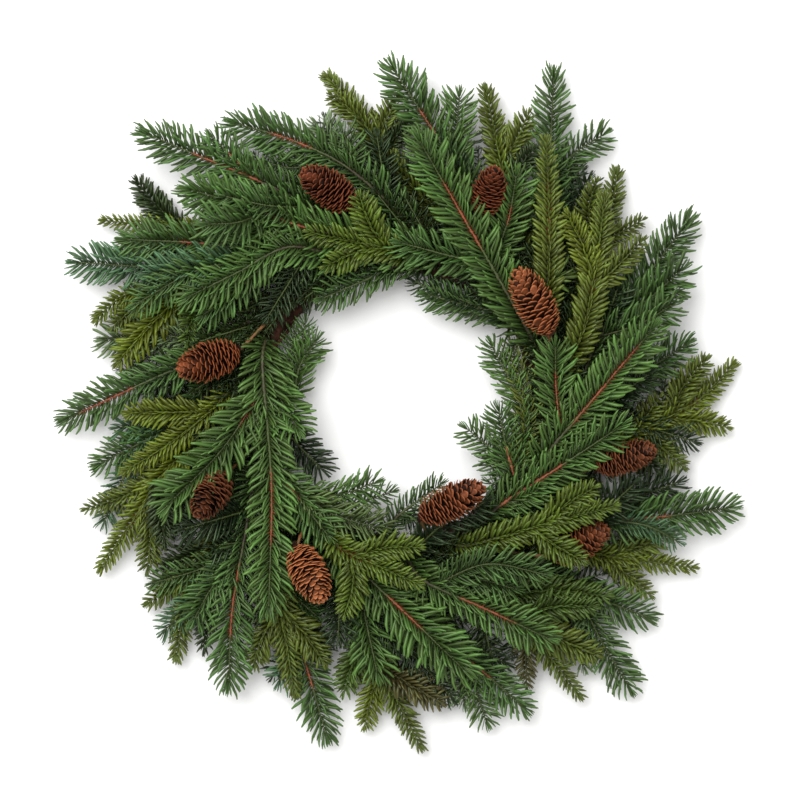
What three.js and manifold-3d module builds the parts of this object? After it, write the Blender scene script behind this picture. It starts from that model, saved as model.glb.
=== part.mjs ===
// A fresh evergreen wreath lying on its back, in millimetres, +Z up, +Y towards its top.
// The origin is the centre of the ring, on the surface that the wreath lies on.
// A ring of twisted vines carries branches of fir and of a short-needled spruce, and nine pine
// cones on stalks. Their feet are tucked into the ring and a wire is wound round it.
import * as THREE from "three";
import { mergeVertices } from "three/addons/utils/BufferGeometryUtils.js";
import Module from "manifold-3d";

const wasm = await Module();
wasm.setup();

// Ring and binding wire
const RING_RADIUS = 128; // centreline of the vines
const VINE_RADIUS = 11.5; // mean radius of the twisted bundle
const STRANDS = 3; // vines in the bundle
const STRAND_RELIEF = 1.8; // how far each vine stands out of the bundle
const VINE_TWISTS = 4; // turns of the bundle in one round of the ring
const RING_STEPS = 48;
const RING_SIDES = 10;
const BACK_CUT = 1; // depth of the flat pressed into each strand where the ring lies
const RING_HEIGHT = VINE_RADIUS + STRAND_RELIEF - BACK_CUT; // centreline above the surface
const WIRE_TURNS = STRANDS * VINE_TWISTS; // so that it passes the back in the valleys
const WIRE_RADIUS = 0.5;
const WIRE_STAND_OFF = 1.3; // centre of the wire above the vines
const WIRE_STEPS = WIRE_TURNS * 10; // straight pieces in the wire
const WIRE_ROOM = 46; // degrees of the winding kept free on each side of a foot
const SEAT_GAP = 0.35; // between a foot and the ring
const FOOT_DEPTH = 2; // how deep a foot runs into the vines before it is trimmed to its seat
const FOOT_SHARE = 0.3; // length of a foot, as a share of the bare stem
const SHORTEST_FOOT = 6;
const LONGEST_FOOT = 14;

// Branches
const STEM_SIDES = 4;
const FOOT_RADIUS = 2; // of a main stem, at the ring
const FORK_RADIUS = 1.4; // of a side stem, where it leaves the main one
const TIP_RADIUS = 0.7;
const BARE_STEP = 40; // longest straight piece of a bare stem
const SIDE_BARE = 0.16; // share of a side stem without needles
const LEAST_BARE = 0.03; // the same for any stem, at least
const FIRST_WHORL = 0.4; // whorl steps left free before the first whorl
const LAST_WHORL = 0.25; // the same past the last
const WHORL_HALF_WIDTH = 0.9; // half the length of stem that a needle grows from
const WHORL_TURN = 22.5; // degrees that each whorl is turned past the last
const NEEDLE_LEAN = 55; // degrees between a needle and its stem
const TIP_NEEDLE_LEAN = 34; // the same for the last whorl
const TIP_NEEDLE_SHARE = 0.8; // length of its needles beside the others
const NEEDLE_BASE = 1.1; // radius kept clear round a needle's base
const NEEDLE_LENGTHS = [1, 0.8, 0.6, 0.42]; // shares tried where there is little room
const FURTHER_LEANS = [0, 14]; // degrees leant further forward, tried at each length
const FIR = { colour: "#4a7f45", whorlStep: 30.5, needlePerSpread: 1.15 };
const SPRUCE = { colour: "#7d8f3c", whorlStep: 25, needlePerSpread: 1.15 };
const STEM_CLEARANCE = 1.2; // between the stems of two branches
const NEEDLE_CLEARANCE = 0.3; // between a needle and any other node
const LIFT_STEP = 2;
const MOST_LIFTS = 9;
const LOWEST_STEM = 5; // height of a stem's centre above the surface
const LOWEST_NEEDLE = 0.3;

// The clear hole in the middle, between its lowest and highest corners in plan
const HOLE = { low: [-53, -62], high: [49, 85] };

// Cones
const CONE_COLUMNS = 10;
const CONE_ROWS = 9;
const CONE_BULGE = 1.06; // widest part beside the stated radius
const CONE_TAPER = 0.22; // share of the radius lost from base to apex
const CONE_FULLNESS = 0.75; // power of a circle's profile: less fills out both ends
const CONE_DRUMS = [0.12, 0.35, 0.6, 0.85, 0.98]; // ends of the drums that stand for its body
const CONE_ROOM = 0.8; // by which the drums are wider than the body
const SCALE_RELIEF = 0.13; // share of the radius by which scales stand out and gaps sink in
const SCALE_REACH = 2.4; // how far a scale's edge points to the apex
const STALK_RADIUS = 1.5;
const STALK_STEPS = 4;
const STALK_DEPTH = 0.2; // how far it runs into the cone, as a share of the cone's length

// Each cone: centre of its base, its apex, its radius, and the foot of its stalk in degrees
// round the ring and round the ring's section, 0 outwards and 90 to the front.
const CONES = [
  { name: "cone_at_11", base: [-40, 172, 44], apex: [-84, 202, 62], radius: 16.5, foot: [102, 62] },
  { name: "cone_at_12", base: [73, 164, 40], apex: [84, 204, 66], radius: 14.5, foot: [58, 58] },
  { name: "cone_at_1", base: [131, 62, 60], apex: [101, 117, 66], radius: 16.5, foot: [18, 70] },
  { name: "cone_at_3", base: [172, -55, 42], apex: [224, -39, 50], radius: 14.5, foot: [328, 28] },
  { name: "cone_at_4", base: [134, -133, 42], apex: [183, -108, 50], radius: 15.5, foot: [302, 42] },
  { name: "cone_at_5", base: [20, -98, 62], apex: [75, -71, 66], radius: 16.5, foot: [281, 112] },
  { name: "cone_at_7", base: [-88, -126, 56], apex: [-65, -172, 76], radius: 16.5, foot: [232, 96] },
  { name: "cone_at_8", base: [-151, -61, 44], apex: [-171, -96, 74], radius: 15.5, foot: [200, 42] },
  { name: "cone_at_9", base: [-140, 45, 48], apex: [-192, 27, 62], radius: 17, foot: [147, 74] },
];

// Each branch: its foot as above, then its main stem as [x, y, z] where the needles begin and at
// the tip, how far the stem bows to its left, and half the width of the spray. A side stem has
// the share of the main stem near which it forks, its tip, its bow and its half width.
const BRANCHES = [
  branch("fir_at_10_middle", FIR, [98, 35], [-122, 193, 42], [-231, 239, 34], 0, 20, [
    [0.5, [-168, 236, 38], 0, 10],
  ]),
  branch("fir_at_11_middle", FIR, [82, 30], [-42, 203, 34], [-154, 248, 28], -5, 20, [
    [0.55, [-119, 209, 30], 10, 13],
    [0.2, [-75, 248, 14], -3, 16],
  ]),
  branch("spruce_at_10_back", SPRUCE, [124, -10], [-185, 152, 14], [-264, 160, 12], 0, 10.5, [
    [0.6, [-229, 197, 14], 3, 11],
  ]),
  branch("fir_at_10_front", FIR, [74, 78], [-81, 152, 50], [-197, 184, 58], -2, 20, [
    [0.37, [-140, 123, 54], 3, 17],
  ]),
  branch("fir_at_10_outer", FIR, [112, 45], [-86, 123, 38], [-249, 144, 30], -5, 19, [
    [0.3, [-291, 122, 22], 8, 18],
  ]),
  branch("spruce_at_9_back", SPRUCE, [143, 0], [-205, 98, 20], [-269, 72, 16], -6, 10.5, [
    [0.6, [-253, 67, 18], 0, 10],
    [0.42, [-248, 32, 22], -4, 13],
    [0.3, [-184, 62, 42], 0, 9],
    [0.25, [-183, 48, 34], 0, 9],
  ]),
  branch("fir_at_10_inner", FIR, [107, 88], [-95, 135, 52], [-194, 86, 50], 0, 17, [
    [0.3, [-177, 72, 40], 3, 14],
  ]),
  branch("spruce_at_11_back", SPRUCE, [62, -5], [-12, 215, 15], [-66, 291, 12], -3, 12, [
    [0.55, [-62, 274, 18], 0, 9],
    [0.6, [0, 268, 14], 3, 10.5],
    [0.5, [14, 254, 18], 0, 9],
  ]),
  branch("fir_at_12_back", FIR, [50, 30], [49, 207, 34], [-12, 303, 28], 0, 20, [
    [0.55, [54, 276, 22], 0, 14],
  ]),
  branch("fir_at_12_front", FIR, [22, 84], [104, 78, 46], [11, 239, 70], 0, 21, []),
  branch("spruce_at_1_back", SPRUCE, [37, 0], [90, 205, 20], [75, 281, 16], 0, 13, [
    [0.6, [115, 257, 18], 2, 10.5],
    [0.5, [121, 223, 24], 0, 9],
  ]),
  branch("fir_at_1_back", FIR, [12, -5], [131, 186, 20], [135, 297, 16], 2, 17, [
    [0.42, [182, 240, 15], 3, 19],
  ]),
  branch("fir_at_12_inner", FIR, [37, 88], [84, 117, 42], [-9, 142, 50], 0, 17, [
    [0.25, [105, 205, 52], -4, 15.5],
  ]),
  branch("spruce_at_12_front", SPRUCE, [86, 90], [1, 131, 42], [-83, 149, 66], 0, 11, [
    [0.2, [-36, 183, 64], 3, 11],
    [0.2, [-68, 117, 60], -4, 11],
  ]),
  branch("spruce_at_1_front", SPRUCE, [26, 58], [129, 92, 46], [128, 234, 54], -2, 12, [
    [0.14, [142, 126, 44], -6, 12],
  ]),
  branch("spruce_at_2_front", SPRUCE, [8, 50], [160, 62, 44], [180, 186, 46], -2, 13, [
    [0.5, [145, 171, 48], -3, 12],
    [0.5, [215, 146, 40], 0, 13],
  ]),
  branch("spruce_at_2_back", SPRUCE, [3, 5], [175, 138, 22], [191, 207, 16], 0, 10.5, [
    [0.7, [217, 161, 15], 0, 10.5],
    [0.5, [172, 196, 32], 8, 12],
  ]),
  branch("fir_at_2_back", FIR, [352, 18], [172, 52, 28], [260, 168, 18], 0, 17, [
    [0.35, [250, 123, 32], -3, 19],
    [0.3, [193, 107, 38], 0, 13],
  ]),
  branch("fir_at_3_front", FIR, [335, 78], [128, -45, 44], [228, 74, 66], 0, 21, [
    [0.2, [135, 60, 58], 2, 17],
  ]),
  branch("fir_at_3_back", FIR, [346, 0], [200, 18, 22], [260, 57, 18], 0, 14, [
    [0.45, [260, -34, 16], 0, 9],
  ]),
  branch("spruce_at_3_back", SPRUCE, [338, 0], [233, -14, 18], [296, 38, 14], 0, 11, [
    [0.7, [270, 42, 22], 4, 10.5],
    [0.68, [291, -20, 14], 0, 10.5],
    [0.58, [230, 9, 26], 0, 9],
    [0.5, [250, -58, 16], 0, 9.5],
  ]),
  branch("fir_at_4_outer", FIR, [317, 22], [168, -103, 26], [302, -90, 20], -2, 18, [
    [0.4, [251, -71, 16], 3, 15],
    [0.25, [191, -81, 24], 0, 8],
  ]),
  branch("fir_at_4_front", FIR, [306, 88], [86, -91, 40], [203, -13, 62], 0, 19, [
    [0.1, [129, -72, 52], -3, 13],
  ]),
  branch("spruce_at_4_front", SPRUCE, [290, 82], [58, -124, 40], [193, -87, 72], 0, 10, [
    [0.57, [173, -70, 70], 2, 10],
    [0.57, [163, -139, 66], -2, 10],
  ]),
  branch("spruce_at_4_back", SPRUCE, [310, 2], [180, -133, 18], [263, -145, 14], 0, 8, [
    [0.55, [243, -116, 18], 0, 10.5],
    [0.55, [223, -171, 16], 0, 10.5],
  ]),
  branch("fir_at_5_back", FIR, [297, 8], [134, -155, 20], [228, -191, 14], 0, 16, [
    [0.55, [207, -256, 14], 2, 17],
    [0.5, [164, -238, 12], 0, 8],
  ]),
  branch("spruce_at_5_back", SPRUCE, [286, 28], [110, -192, 26], [162, -260, 16], 2, 9.5, [
    [0.5, [174, -174, 32], 4, 10.5],
    [0.62, [178, -222, 24], 0, 13],
    [0.6, [112, -254, 14], 0, 9],
  ]),
  branch("fir_at_5_front", FIR, [272, 78], [19, -152, 44], [140, -209, 48], 0, 17, [
    [0.2, [110, -161, 52], 8, 13],
    [0.12, [135, -147, 42], 14, 12],
  ]),
  branch("fir_at_5_outer", FIR, [266, 5], [46, -210, 24], [118, -273, 20], 0, 17, [
    [0.6, [79, -286, 14], 0, 10.5],
    [0.45, [55, -270, 12], 0, 12],
  ]),
  branch("fir_at_6_front", FIR, [244, 90], [-49, -129, 42], [67, -241, 54], 0, 20, []),
  branch("spruce_at_6_front", SPRUCE, [238, 102], [-50, -126, 54], [23, -159, 74], 0, 10.5, [
    [0.3, [23, -124, 72], 4, 10.5],
    [0.3, [-47, -187, 68], 4, 10.5],
  ]),
  branch("fir_at_6_middle", FIR, [249, 25], [-35, -160, 32], [-16, -246, 34], 0, 15.5, [
    [0.5, [54, -265, 14], 0, 13],
    [0.42, [36, -231, 22], 0, 13],
  ]),
  branch("spruce_at_6_back", SPRUCE, [254, -5], [-20, -222, 18], [22, -306, 14], 0, 12, [
    [0.5, [-31, -287, 14], 0, 9.5],
    [0.4, [-50, -258, 18], -3, 10.5],
  ]),
  branch("fir_at_7_back", FIR, [227, 8], [-90, -195, 20], [-60, -301, 15], 0, 16, [
    [0.42, [-108, -250, 16], 0, 12],
    [0.3, [-68, -189, 26], 0, 10],
    [0.36, [-58, -219, 22], 0, 9],
  ]),
  branch("spruce_at_7_middle", SPRUCE, [221, 42], [-103, -176, 32], [-90, -259, 22], 0, 12, [
    [0.4, [-62, -228, 28], 3, 12],
    [0.42, [-128, -233, 24], 0, 10.5],
    [0.28, [-138, -187, 30], 0, 10.5],
  ]),
  branch("fir_at_7_middle", FIR, [206, 58], [-134, -118, 36], [-149, -256, 30], -4, 17, [
    [0.3, [-187, -195, 32], 0, 15.5],
    [0.28, [-203, -206, 18], 4, 10.5],
    [0.12, [-169, -125, 42], 0, 15],
    [0.3, [-220, -160, 20], 0, 8],
  ]),
  branch("fir_at_8_front", FIR, [156, 88], [-118, 40, 46], [-112, -191, 62], 5, 20, [
    [0.18, [-208, -98, 58], 6, 21],
    [0.06, [-86, -32, 56], 0, 16],
  ]),
  branch("fir_at_9_outer", FIR, [151, 28], [-172, 41, 28], [-300, -19, 22], 0, 19, [
    [0.3, [-221, 10, 24], 0, 10.5],
    [0.3, [-267, 57, 14], 0, 13],
  ]),
  branch("spruce_at_8_front", SPRUCE, [173, 45], [-162, -6, 36], [-244, -63, 30], 3, 12, [
    [0.4, [-240, -7, 34], 0, 9.5],
  ]),
  branch("fir_at_8_back", FIR, [164, 0], [-188, -16, 18], [-271, -58, 14], 0, 14, [
    [0.5, [-251, -22, 16], 0, 10.5],
    [0.6, [-261, -115, 14], 4, 9],
  ]),
  branch("spruce_at_8_outer", SPRUCE, [181, 8], [-200, -56, 24], [-264, -150, 16], 0, 11, [
    [0.5, [-277, -93, 15], 0, 9.5],
    [0.58, [-219, -151, 22], 3, 11],
  ]),
  branch("spruce_at_7_back", SPRUCE, [193, 5], [-158, -118, 22], [-196, -229, 14], 0, 11, [
    [0.5, [-223, -178, 16], 0, 11],
    [0.58, [-170, -220, 14], 0, 9],
    [0.35, [-212, -150, 20], 0, 12],
  ]),
  branch("fir_inside_11", FIR, [78, 135], [2, 120, 32], [-75, 87, 38], 0, 13, []),
  branch("fir_inside_1", FIR, [33, 150], [90, 76, 26], [16, 97, 32], 0, 15.5, []),
  branch("fir_inside_9", FIR, [176, 160], [-94, 6, 22], [-66, 63, 24], 4, 15, [
    [0.6, [-80, 76, 18], 0, 8],
  ]),
  branch("fir_inside_8", FIR, [188, 175], [-100, -24, 16], [-60, -65, 18], 0, 15, []),
  branch("fir_inside_7", FIR, [204, 118], [-106, -58, 36], [-54, -124, 44], 0, 15.5, [
    [0.3, [-11, -68, 32], -8, 11],
    [0.36, [2, -77, 24], -10, 8],
    [0.4, [-6, -113, 48], -6, 11],
  ]),
  branch("fir_inside_4", FIR, [318, 112], [101, -74, 36], [85, 3, 40], 0, 15.5, [
    [0.35, [54, -17, 28], 0, 13],
    [0.25, [80, 60, 24], -12, 13],
    [0.15, [70, -44, 26], 0, 9],
  ]),
  branch("fir_inside_6", FIR, [264, 150], [0, -98, 26], [43, -66, 32], 0, 10.5, [
    [0.2, [26, -120, 34], 0, 8],
  ]),
];

function branch(name, kind, foot, root, tip, bow, spread, sides) {
  return { name, kind, foot, root, tip, bow, spread, sides };
}

const radians = THREE.MathUtils.degToRad;

// ---- The vine ring ----

// Distance of the vines' surface from the centreline, at an angle round the ring and round
// its section: the strands twist as they go round.
function vineSurface(around, section) {
  const phase = STRANDS * (section - VINE_TWISTS * around);
  return VINE_RADIUS + STRAND_RELIEF * Math.cos(phase);
}

function outward(around, section) {
  const flat = Math.cos(section);
  return new THREE.Vector3(flat * Math.cos(around), flat * Math.sin(around), Math.sin(section));
}

function ringPoint(around, section, distance) {
  const centre = new THREE.Vector3(Math.cos(around), Math.sin(around), 0);
  centre.multiplyScalar(RING_RADIUS).setZ(RING_HEIGHT);
  return centre.addScaledVector(outward(around, section), distance);
}

// A plain ring to mould, with radii of 2 and 1, and the two angles of a point on it.
function plainRing(sides, steps) {
  return new THREE.TorusGeometry(2, 1, sides, steps);
}

function anglesOn(v) {
  return [Math.atan2(v.y, v.x), Math.atan2(v.z, Math.hypot(v.x, v.y) - 2)];
}

// A geometry with only positions and shared vertices, each moved by the place function.
function moulded(geometry, place) {
  geometry.deleteAttribute("normal");
  geometry.deleteAttribute("uv");
  const merged = mergeVertices(geometry, 1e-4);
  const position = merged.getAttribute("position");
  const vertex = new THREE.Vector3();
  for (let i = 0; i < position.count; i++) {
    position.setXYZ(i, ...place(vertex.fromBufferAttribute(position, i)).toArray());
  }
  return merged;
}

function vineRing(growth) {
  return moulded(plainRing(RING_SIDES, RING_STEPS), (v) => {
    const [around, angle] = anglesOn(v);
    const section = angle + Math.PI / RING_SIDES;
    return ringPoint(around, section, vineSurface(around, section) + growth);
  });
}

// The wire's centre is a helix round the vines; share 0 to 1 goes once round the ring.
function wirePoint(share) {
  const around = share * 2 * Math.PI;
  const section = WIRE_TURNS * around;
  return ringPoint(around, section, vineSurface(around, section) + WIRE_STAND_OFF);
}

function bindingWire() {
  const halfStep = 0.5 / WIRE_STEPS;
  return moulded(plainRing(3, WIRE_STEPS), (v) => {
    const [around, section] = anglesOn(v);
    const share = around / (2 * Math.PI);
    const along = wirePoint(share + halfStep).sub(wirePoint(share - halfStep)).normalize();
    const away = outward(around, WIRE_TURNS * around);
    const beside = away.clone().cross(along).normalize();
    return wirePoint(share)
      .addScaledVector(away, WIRE_RADIUS * Math.cos(section))
      .addScaledVector(beside, WIRE_RADIUS * Math.sin(section));
  });
}

// ---- Joining and cutting ----

function solid(geometry) {
  return new wasm.Manifold(
    new wasm.Mesh({
      numProp: 3,
      vertProperties: geometry.getAttribute("position").array,
      triVerts: new Uint32Array(geometry.index.array),
    }),
  );
}

function geometryOf(manifold) {
  const { vertProperties, triVerts } = manifold.getMesh();
  const geometry = new THREE.BufferGeometry();
  geometry.setAttribute("position", new THREE.BufferAttribute(vertProperties, 3));
  geometry.setIndex(new THREE.BufferAttribute(triVerts, 1));
  return geometry;
}

// ---- What each piece keeps clear of: tapered rods, each with its owner's name ----

const rods = [];

// The nearest points of two rods, as the free distance between their surfaces.
function freeDistance(p, q) {
  const u = p.end.clone().sub(p.start);
  const v = q.end.clone().sub(q.start);
  const w = p.start.clone().sub(q.start);
  const uu = u.dot(u);
  const uv = u.dot(v);
  const vv = v.dot(v);
  const uw = u.dot(w);
  const vw = v.dot(w);
  const slope = uu * vv - uv * uv;
  const clamp = THREE.MathUtils.clamp;
  let s = slope > 1e-9 ? clamp((uv * vw - vv * uw) / slope, 0, 1) : 0;
  const t = clamp((uv * s + vw) / vv, 0, 1);
  s = clamp((uv * t - uw) / uu, 0, 1);
  const gap = w.addScaledVector(u, s).addScaledVector(v, -t).length();
  return gap - THREE.MathUtils.lerp(p.from, p.to, s) - THREE.MathUtils.lerp(q.from, q.to, t);
}

function rod(owner, start, end, from, to) {
  const centre = start.clone().add(end).multiplyScalar(0.5);
  const reach = start.distanceTo(end) / 2 + Math.max(from, to);
  return { owner, start, end, from, to, centre, reach };
}

function isClear(candidate, clearance, obstacles) {
  return obstacles.every((other) => {
    if (other.owner === candidate.owner) return true;
    const apart = other.centre.distanceTo(candidate.centre);
    if (apart > other.reach + candidate.reach + clearance) return true;
    return freeDistance(candidate, other) >= clearance;
  });
}

// ---- Stems ----

// A foot lies between two turns of the wire, so it is moved along the ring where it is too near.
function freeFoot([around, section]) {
  const phase = THREE.MathUtils.euclideanModulo(WIRE_TURNS * around - section + 180, 360) - 180;
  const wanted = Math.abs(phase) < WIRE_ROOM ? Math.sign(phase || 1) * WIRE_ROOM : phase;
  return [radians(around + (wanted - phase) / WIRE_TURNS), radians(section)];
}

// A stem leaves the ring aslant, towards the point where its needles begin.
function footPoints(foot, next) {
  const [around, section] = freeFoot(foot);
  const start = ringPoint(around, section, VINE_RADIUS - FOOT_DEPTH);
  const share = start.distanceTo(next) * FOOT_SHARE;
  const reach = THREE.MathUtils.clamp(share, SHORTEST_FOOT, LONGEST_FOOT);
  const way = next.clone().sub(start).normalize().add(outward(around, section)).normalize();
  return [start, start.clone().addScaledVector(way, reach)];
}

function bowed(start, tip, bow) {
  const run = tip.clone().sub(start);
  const left = new THREE.Vector3(-run.y, run.x, 0).normalize();
  return start.clone().add(tip).multiplyScalar(0.5).addScaledVector(left, bow);
}

// Rods along a stem, straight from each of its rows to the next.
function rodsAlong(owner, path, rows, radiusAt) {
  const points = rows.map(({ share }) => path.getPointAt(share));
  return rows.slice(1).map(({ share }, i) =>
    rod(owner, points[i], points[i + 1], radiusAt(rows[i].share), radiusAt(share)));
}

// Where a stem has its rows of corners, as shares of its length: along the bare part and at each
// whorl of needles. The whorls are numbered from 0.
function rowPlan(path, bare, whorlStep) {
  const length = path.getLength();
  const steps = Math.max(1, Math.ceil((bare * length) / BARE_STEP));
  const whorls = Math.max(1, Math.round(((1 - bare) * length) / whorlStep));
  const whorlShare = (1 - bare) / (FIRST_WHORL + whorls - 1 + LAST_WHORL);
  return [
    ...Array.from({ length: steps }, (_, i) => ({ share: (bare * i) / steps })),
    ...Array.from({ length: whorls }, (_, whorl) => ({
      share: bare + (FIRST_WHORL + whorl) * whorlShare,
      whorl,
      last: whorl === whorls - 1,
    })),
    { share: 1 },
  ];
}

// Lays a stem through its points, lifted or lowered by whole steps until it clears the rest.
// The first `fixed` points stay: they are the foot, or the fork. Returns its path, its rows and
// its radius at a share of its length.
function laid(owner, kind, points, fixed, from, needles) {
  const radiusAt = (share) => THREE.MathUtils.lerp(from, TIP_RADIUS, share);
  for (let n = 0; n <= 2 * MOST_LIFTS; n++) {
    const lift = LIFT_STEP * (n % 2 ? 1 : -1) * Math.ceil(n / 2);
    const moved = points.map((p, i) => {
      return i < fixed ? p : p.clone().setZ(Math.max(p.z + lift, LOWEST_STEM));
    });
    const path = new THREE.CatmullRomCurve3(moved, false, "centripetal");
    const bare = Math.max(LEAST_BARE, 1 - needles / path.getLength());
    const rows = rowPlan(path, bare, kind.whorlStep);
    const own = rodsAlong(owner, path, rows, radiusAt);
    if (own.slice(1).every((piece) => isClear(piece, STEM_CLEARANCE, rods))) {
      rods.push(...own);
      return { path, rows, radiusAt };
    }
  }
  throw new Error(owner + " finds no free way for a stem to " + points.at(-1).toArray());
}

// All the stems of a branch, the main one first.
function stemsOf({ name, kind, foot, root, tip, bow, spread, sides }) {
  const begin = new THREE.Vector3(...root);
  const end = new THREE.Vector3(...tip);
  const points = [...footPoints(foot, begin), begin, bowed(begin, end, bow), end];
  const main = laid(name, kind, points, 2, FOOT_RADIUS, begin.distanceTo(end));
  const stems = [{ ...main, spread }];
  for (const [share, sideTip, sideBow, sideSpread] of sides) {
    const away = (row) => Math.abs(row.share - share);
    const row = main.rows.reduce((best, other) => (away(other) < away(best) ? other : best));
    const fork = main.path.getPointAt(row.share);
    const sideEnd = new THREE.Vector3(...sideTip);
    const sidePoints = [fork, bowed(fork, sideEnd, sideBow), sideEnd];
    const needles = fork.distanceTo(sideEnd) * (1 - SIDE_BARE);
    stems.push({ ...laid(name, kind, sidePoints, 1, FORK_RADIUS, needles), spread: sideSpread });
  }
  return stems;
}

// ---- Needles ----

// Axes across a stem: up, as far as it can be, and to the side.
function acrossAt(path, share) {
  const along = path.getTangentAt(share);
  const up = new THREE.Vector3(0, 0, 1).addScaledVector(along, -along.z).normalize();
  return { along, up, side: up.clone().cross(along) };
}

function spoke({ up, side }, angle) {
  return up.clone().multiplyScalar(Math.cos(angle)).addScaledVector(side, Math.sin(angle));
}

function overHole(point) {
  const { low, high } = HOLE;
  return point.x > low[0] && point.x < high[0] && point.y > low[1] && point.y < high[1];
}

// The tip of a needle that grows at an angle round the stem, shortened or leant further forward
// until it is clear, or null where there is no room for it.
function needleTip(owner, base, axes, angle, length, lean) {
  for (const share of NEEDLE_LENGTHS) {
    for (const further of FURTHER_LEANS) {
      const rise = radians(lean - further);
      const tip = base.clone()
        .addScaledVector(axes.along, Math.cos(rise) * length * share)
        .addScaledVector(spoke(axes, angle), Math.sin(rise) * length * share);
      tip.z = Math.max(tip.z, LOWEST_NEEDLE);
      const needle = rod(owner, base, tip, NEEDLE_BASE, 0.1);
      if (!overHole(tip) && isClear(needle, NEEDLE_CLEARANCE, rods)) {
        rods.push(needle);
        return tip;
      }
    }
  }
  return null;
}

// The rows of a stem with the needles worked out: { share, radius, turn, tips }. A whorl becomes
// three rows close together, and two opposite corners of the middle one are needle tips.
function withNeedles(owner, kind, { path, rows, radiusAt, spread }) {
  const half = WHORL_HALF_WIDTH / path.getLength();
  return rows.flatMap(({ share, whorl, last }) => {
    const plain = { share, radius: share < 1 ? radiusAt(share) : 0, turn: 0, tips: [] };
    if (whorl === undefined) return [plain];
    const axes = acrossAt(path, share);
    plain.turn = radians(WHORL_TURN * whorl);
    const needle = kind.needlePerSpread * spread * (last ? TIP_NEEDLE_SHARE : 1);
    const lean = last ? TIP_NEEDLE_LEAN : NEEDLE_LEAN;
    const tips = Array.from({ length: STEM_SIDES }, (_, corner) => {
      if (corner % 2 !== whorl % 2) return null;
      const angle = (2 * Math.PI * corner) / STEM_SIDES + plain.turn;
      return needleTip(owner, path.getPointAt(share), axes, angle, needle, lean);
    });
    if (tips.every((tip) => !tip)) return [plain];
    const before = { ...plain, share: share - half };
    const after = { ...plain, share: share + half };
    return [before, { ...plain, tips }, after];
  });
}

// A stem with its needles: a pointed rod whose rows follow the path.
function stemGeometry(path, rows) {
  const height = rows.length - 1;
  const blank = new THREE.ConeGeometry(1, height, STEM_SIDES, height);
  return moulded(blank, (v) => {
    const row = Math.round(v.y + height / 2);
    const { share, radius, turn, tips } = rows[row];
    const centre = path.getPointAt(share);
    if (Math.hypot(v.x, v.z) < 1e-6) return centre;
    const nearest = Math.round((Math.atan2(v.z, v.x) * STEM_SIDES) / (2 * Math.PI));
    const corner = THREE.MathUtils.euclideanModulo(nearest, STEM_SIDES);
    if (tips[corner]) return tips[corner];
    const angle = (2 * Math.PI * corner) / STEM_SIDES + turn;
    return centre.addScaledVector(spoke(acrossAt(path, share), angle), radius);
  });
}

// ---- Cones ----

// A closed pine cone: an egg whose grid of points is raised and sunk in turn, so that raised
// scales overlap towards the apex all round.
function coneBody({ base, apex, radius }) {
  const start = new THREE.Vector3(...base);
  const axis = new THREE.Vector3(...apex).sub(start);
  const length = axis.length();
  axis.normalize();
  const side = new THREE.Vector3(0, 0, 1).cross(axis).normalize();
  const front = side.clone().cross(axis);
  return moulded(new THREE.SphereGeometry(1, CONE_COLUMNS, CONE_ROWS), (v) => {
    const along = (1 + v.y) / 2;
    const row = Math.round((Math.acos(THREE.MathUtils.clamp(-v.y, -1, 1)) * CONE_ROWS) / Math.PI);
    const angle = Math.atan2(v.z, v.x);
    const column = Math.round((angle * CONE_COLUMNS) / (2 * Math.PI));
    const raised = (row + column) % 2 === 0 ? 1 : -1;
    const pole = row === 0 || row === CONE_ROWS;
    const round = Math.hypot(v.x, v.z) ** CONE_FULLNESS * (CONE_BULGE - CONE_TAPER * along);
    const distance = pole ? 0 : radius * round * (1 + SCALE_RELIEF * (raised - 0.5));
    return start.clone()
      .addScaledVector(axis, along * length + (pole ? 0 : SCALE_REACH * raised))
      .addScaledVector(side, distance * Math.cos(angle))
      .addScaledVector(front, distance * Math.sin(angle));
  });
}

// Rods that stand for a cone's body: short drums of its own width.
function coneRods({ name, base, apex, radius }) {
  const start = new THREE.Vector3(...base);
  const end = new THREE.Vector3(...apex);
  const at = (share) => start.clone().lerp(end, share);
  const width = (share) => radius * Math.sqrt(Math.sin(Math.PI * share)) + CONE_ROOM;
  return CONE_DRUMS.slice(1).map((to, i) => {
    const from = CONE_DRUMS[i];
    return rod(name, at(from), at(to), width(from), width(to));
  });
}

// ---- Putting it together ----

const wreath = new THREE.Group();

function add(name, geometry, colour, roughness, metalness = 0) {
  const material = new THREE.MeshStandardMaterial({ color: colour, roughness, metalness });
  const mesh = new THREE.Mesh(geometry, material);
  mesh.name = name;
  wreath.add(mesh);
}

const benchWidth = 4 * RING_RADIUS;
const bench = moulded(new THREE.BoxGeometry(benchWidth, benchWidth, VINE_RADIUS), (v) => {
  return v.setZ(v.z - VINE_RADIUS / 2);
});
const pressedRing = solid(vineRing(0)).subtract(solid(bench));
add("vine_ring", geometryOf(pressedRing), "#3b241c", 0.9);
add("binding_wire", bindingWire(), "#2f3b2c", 0.5, 0.6);

for (let i = 0; i < RING_STEPS; i++) {
  const at = (k) => ringPoint((2 * Math.PI * k) / RING_STEPS, 0, 0);
  const width = VINE_RADIUS + STRAND_RELIEF;
  rods.push(rod("vine_ring", at(i), at(i + 1), width, width));
}
for (let i = 0; i < WIRE_STEPS; i++) {
  const at = (k) => wirePoint(k / WIRE_STEPS);
  rods.push(rod("binding_wire", at(i), at(i + 1), WIRE_RADIUS, WIRE_RADIUS));
}
for (const cone of CONES) {
  rods.push(...coneRods(cone));
}

const seat = solid(vineRing(SEAT_GAP));

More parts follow.
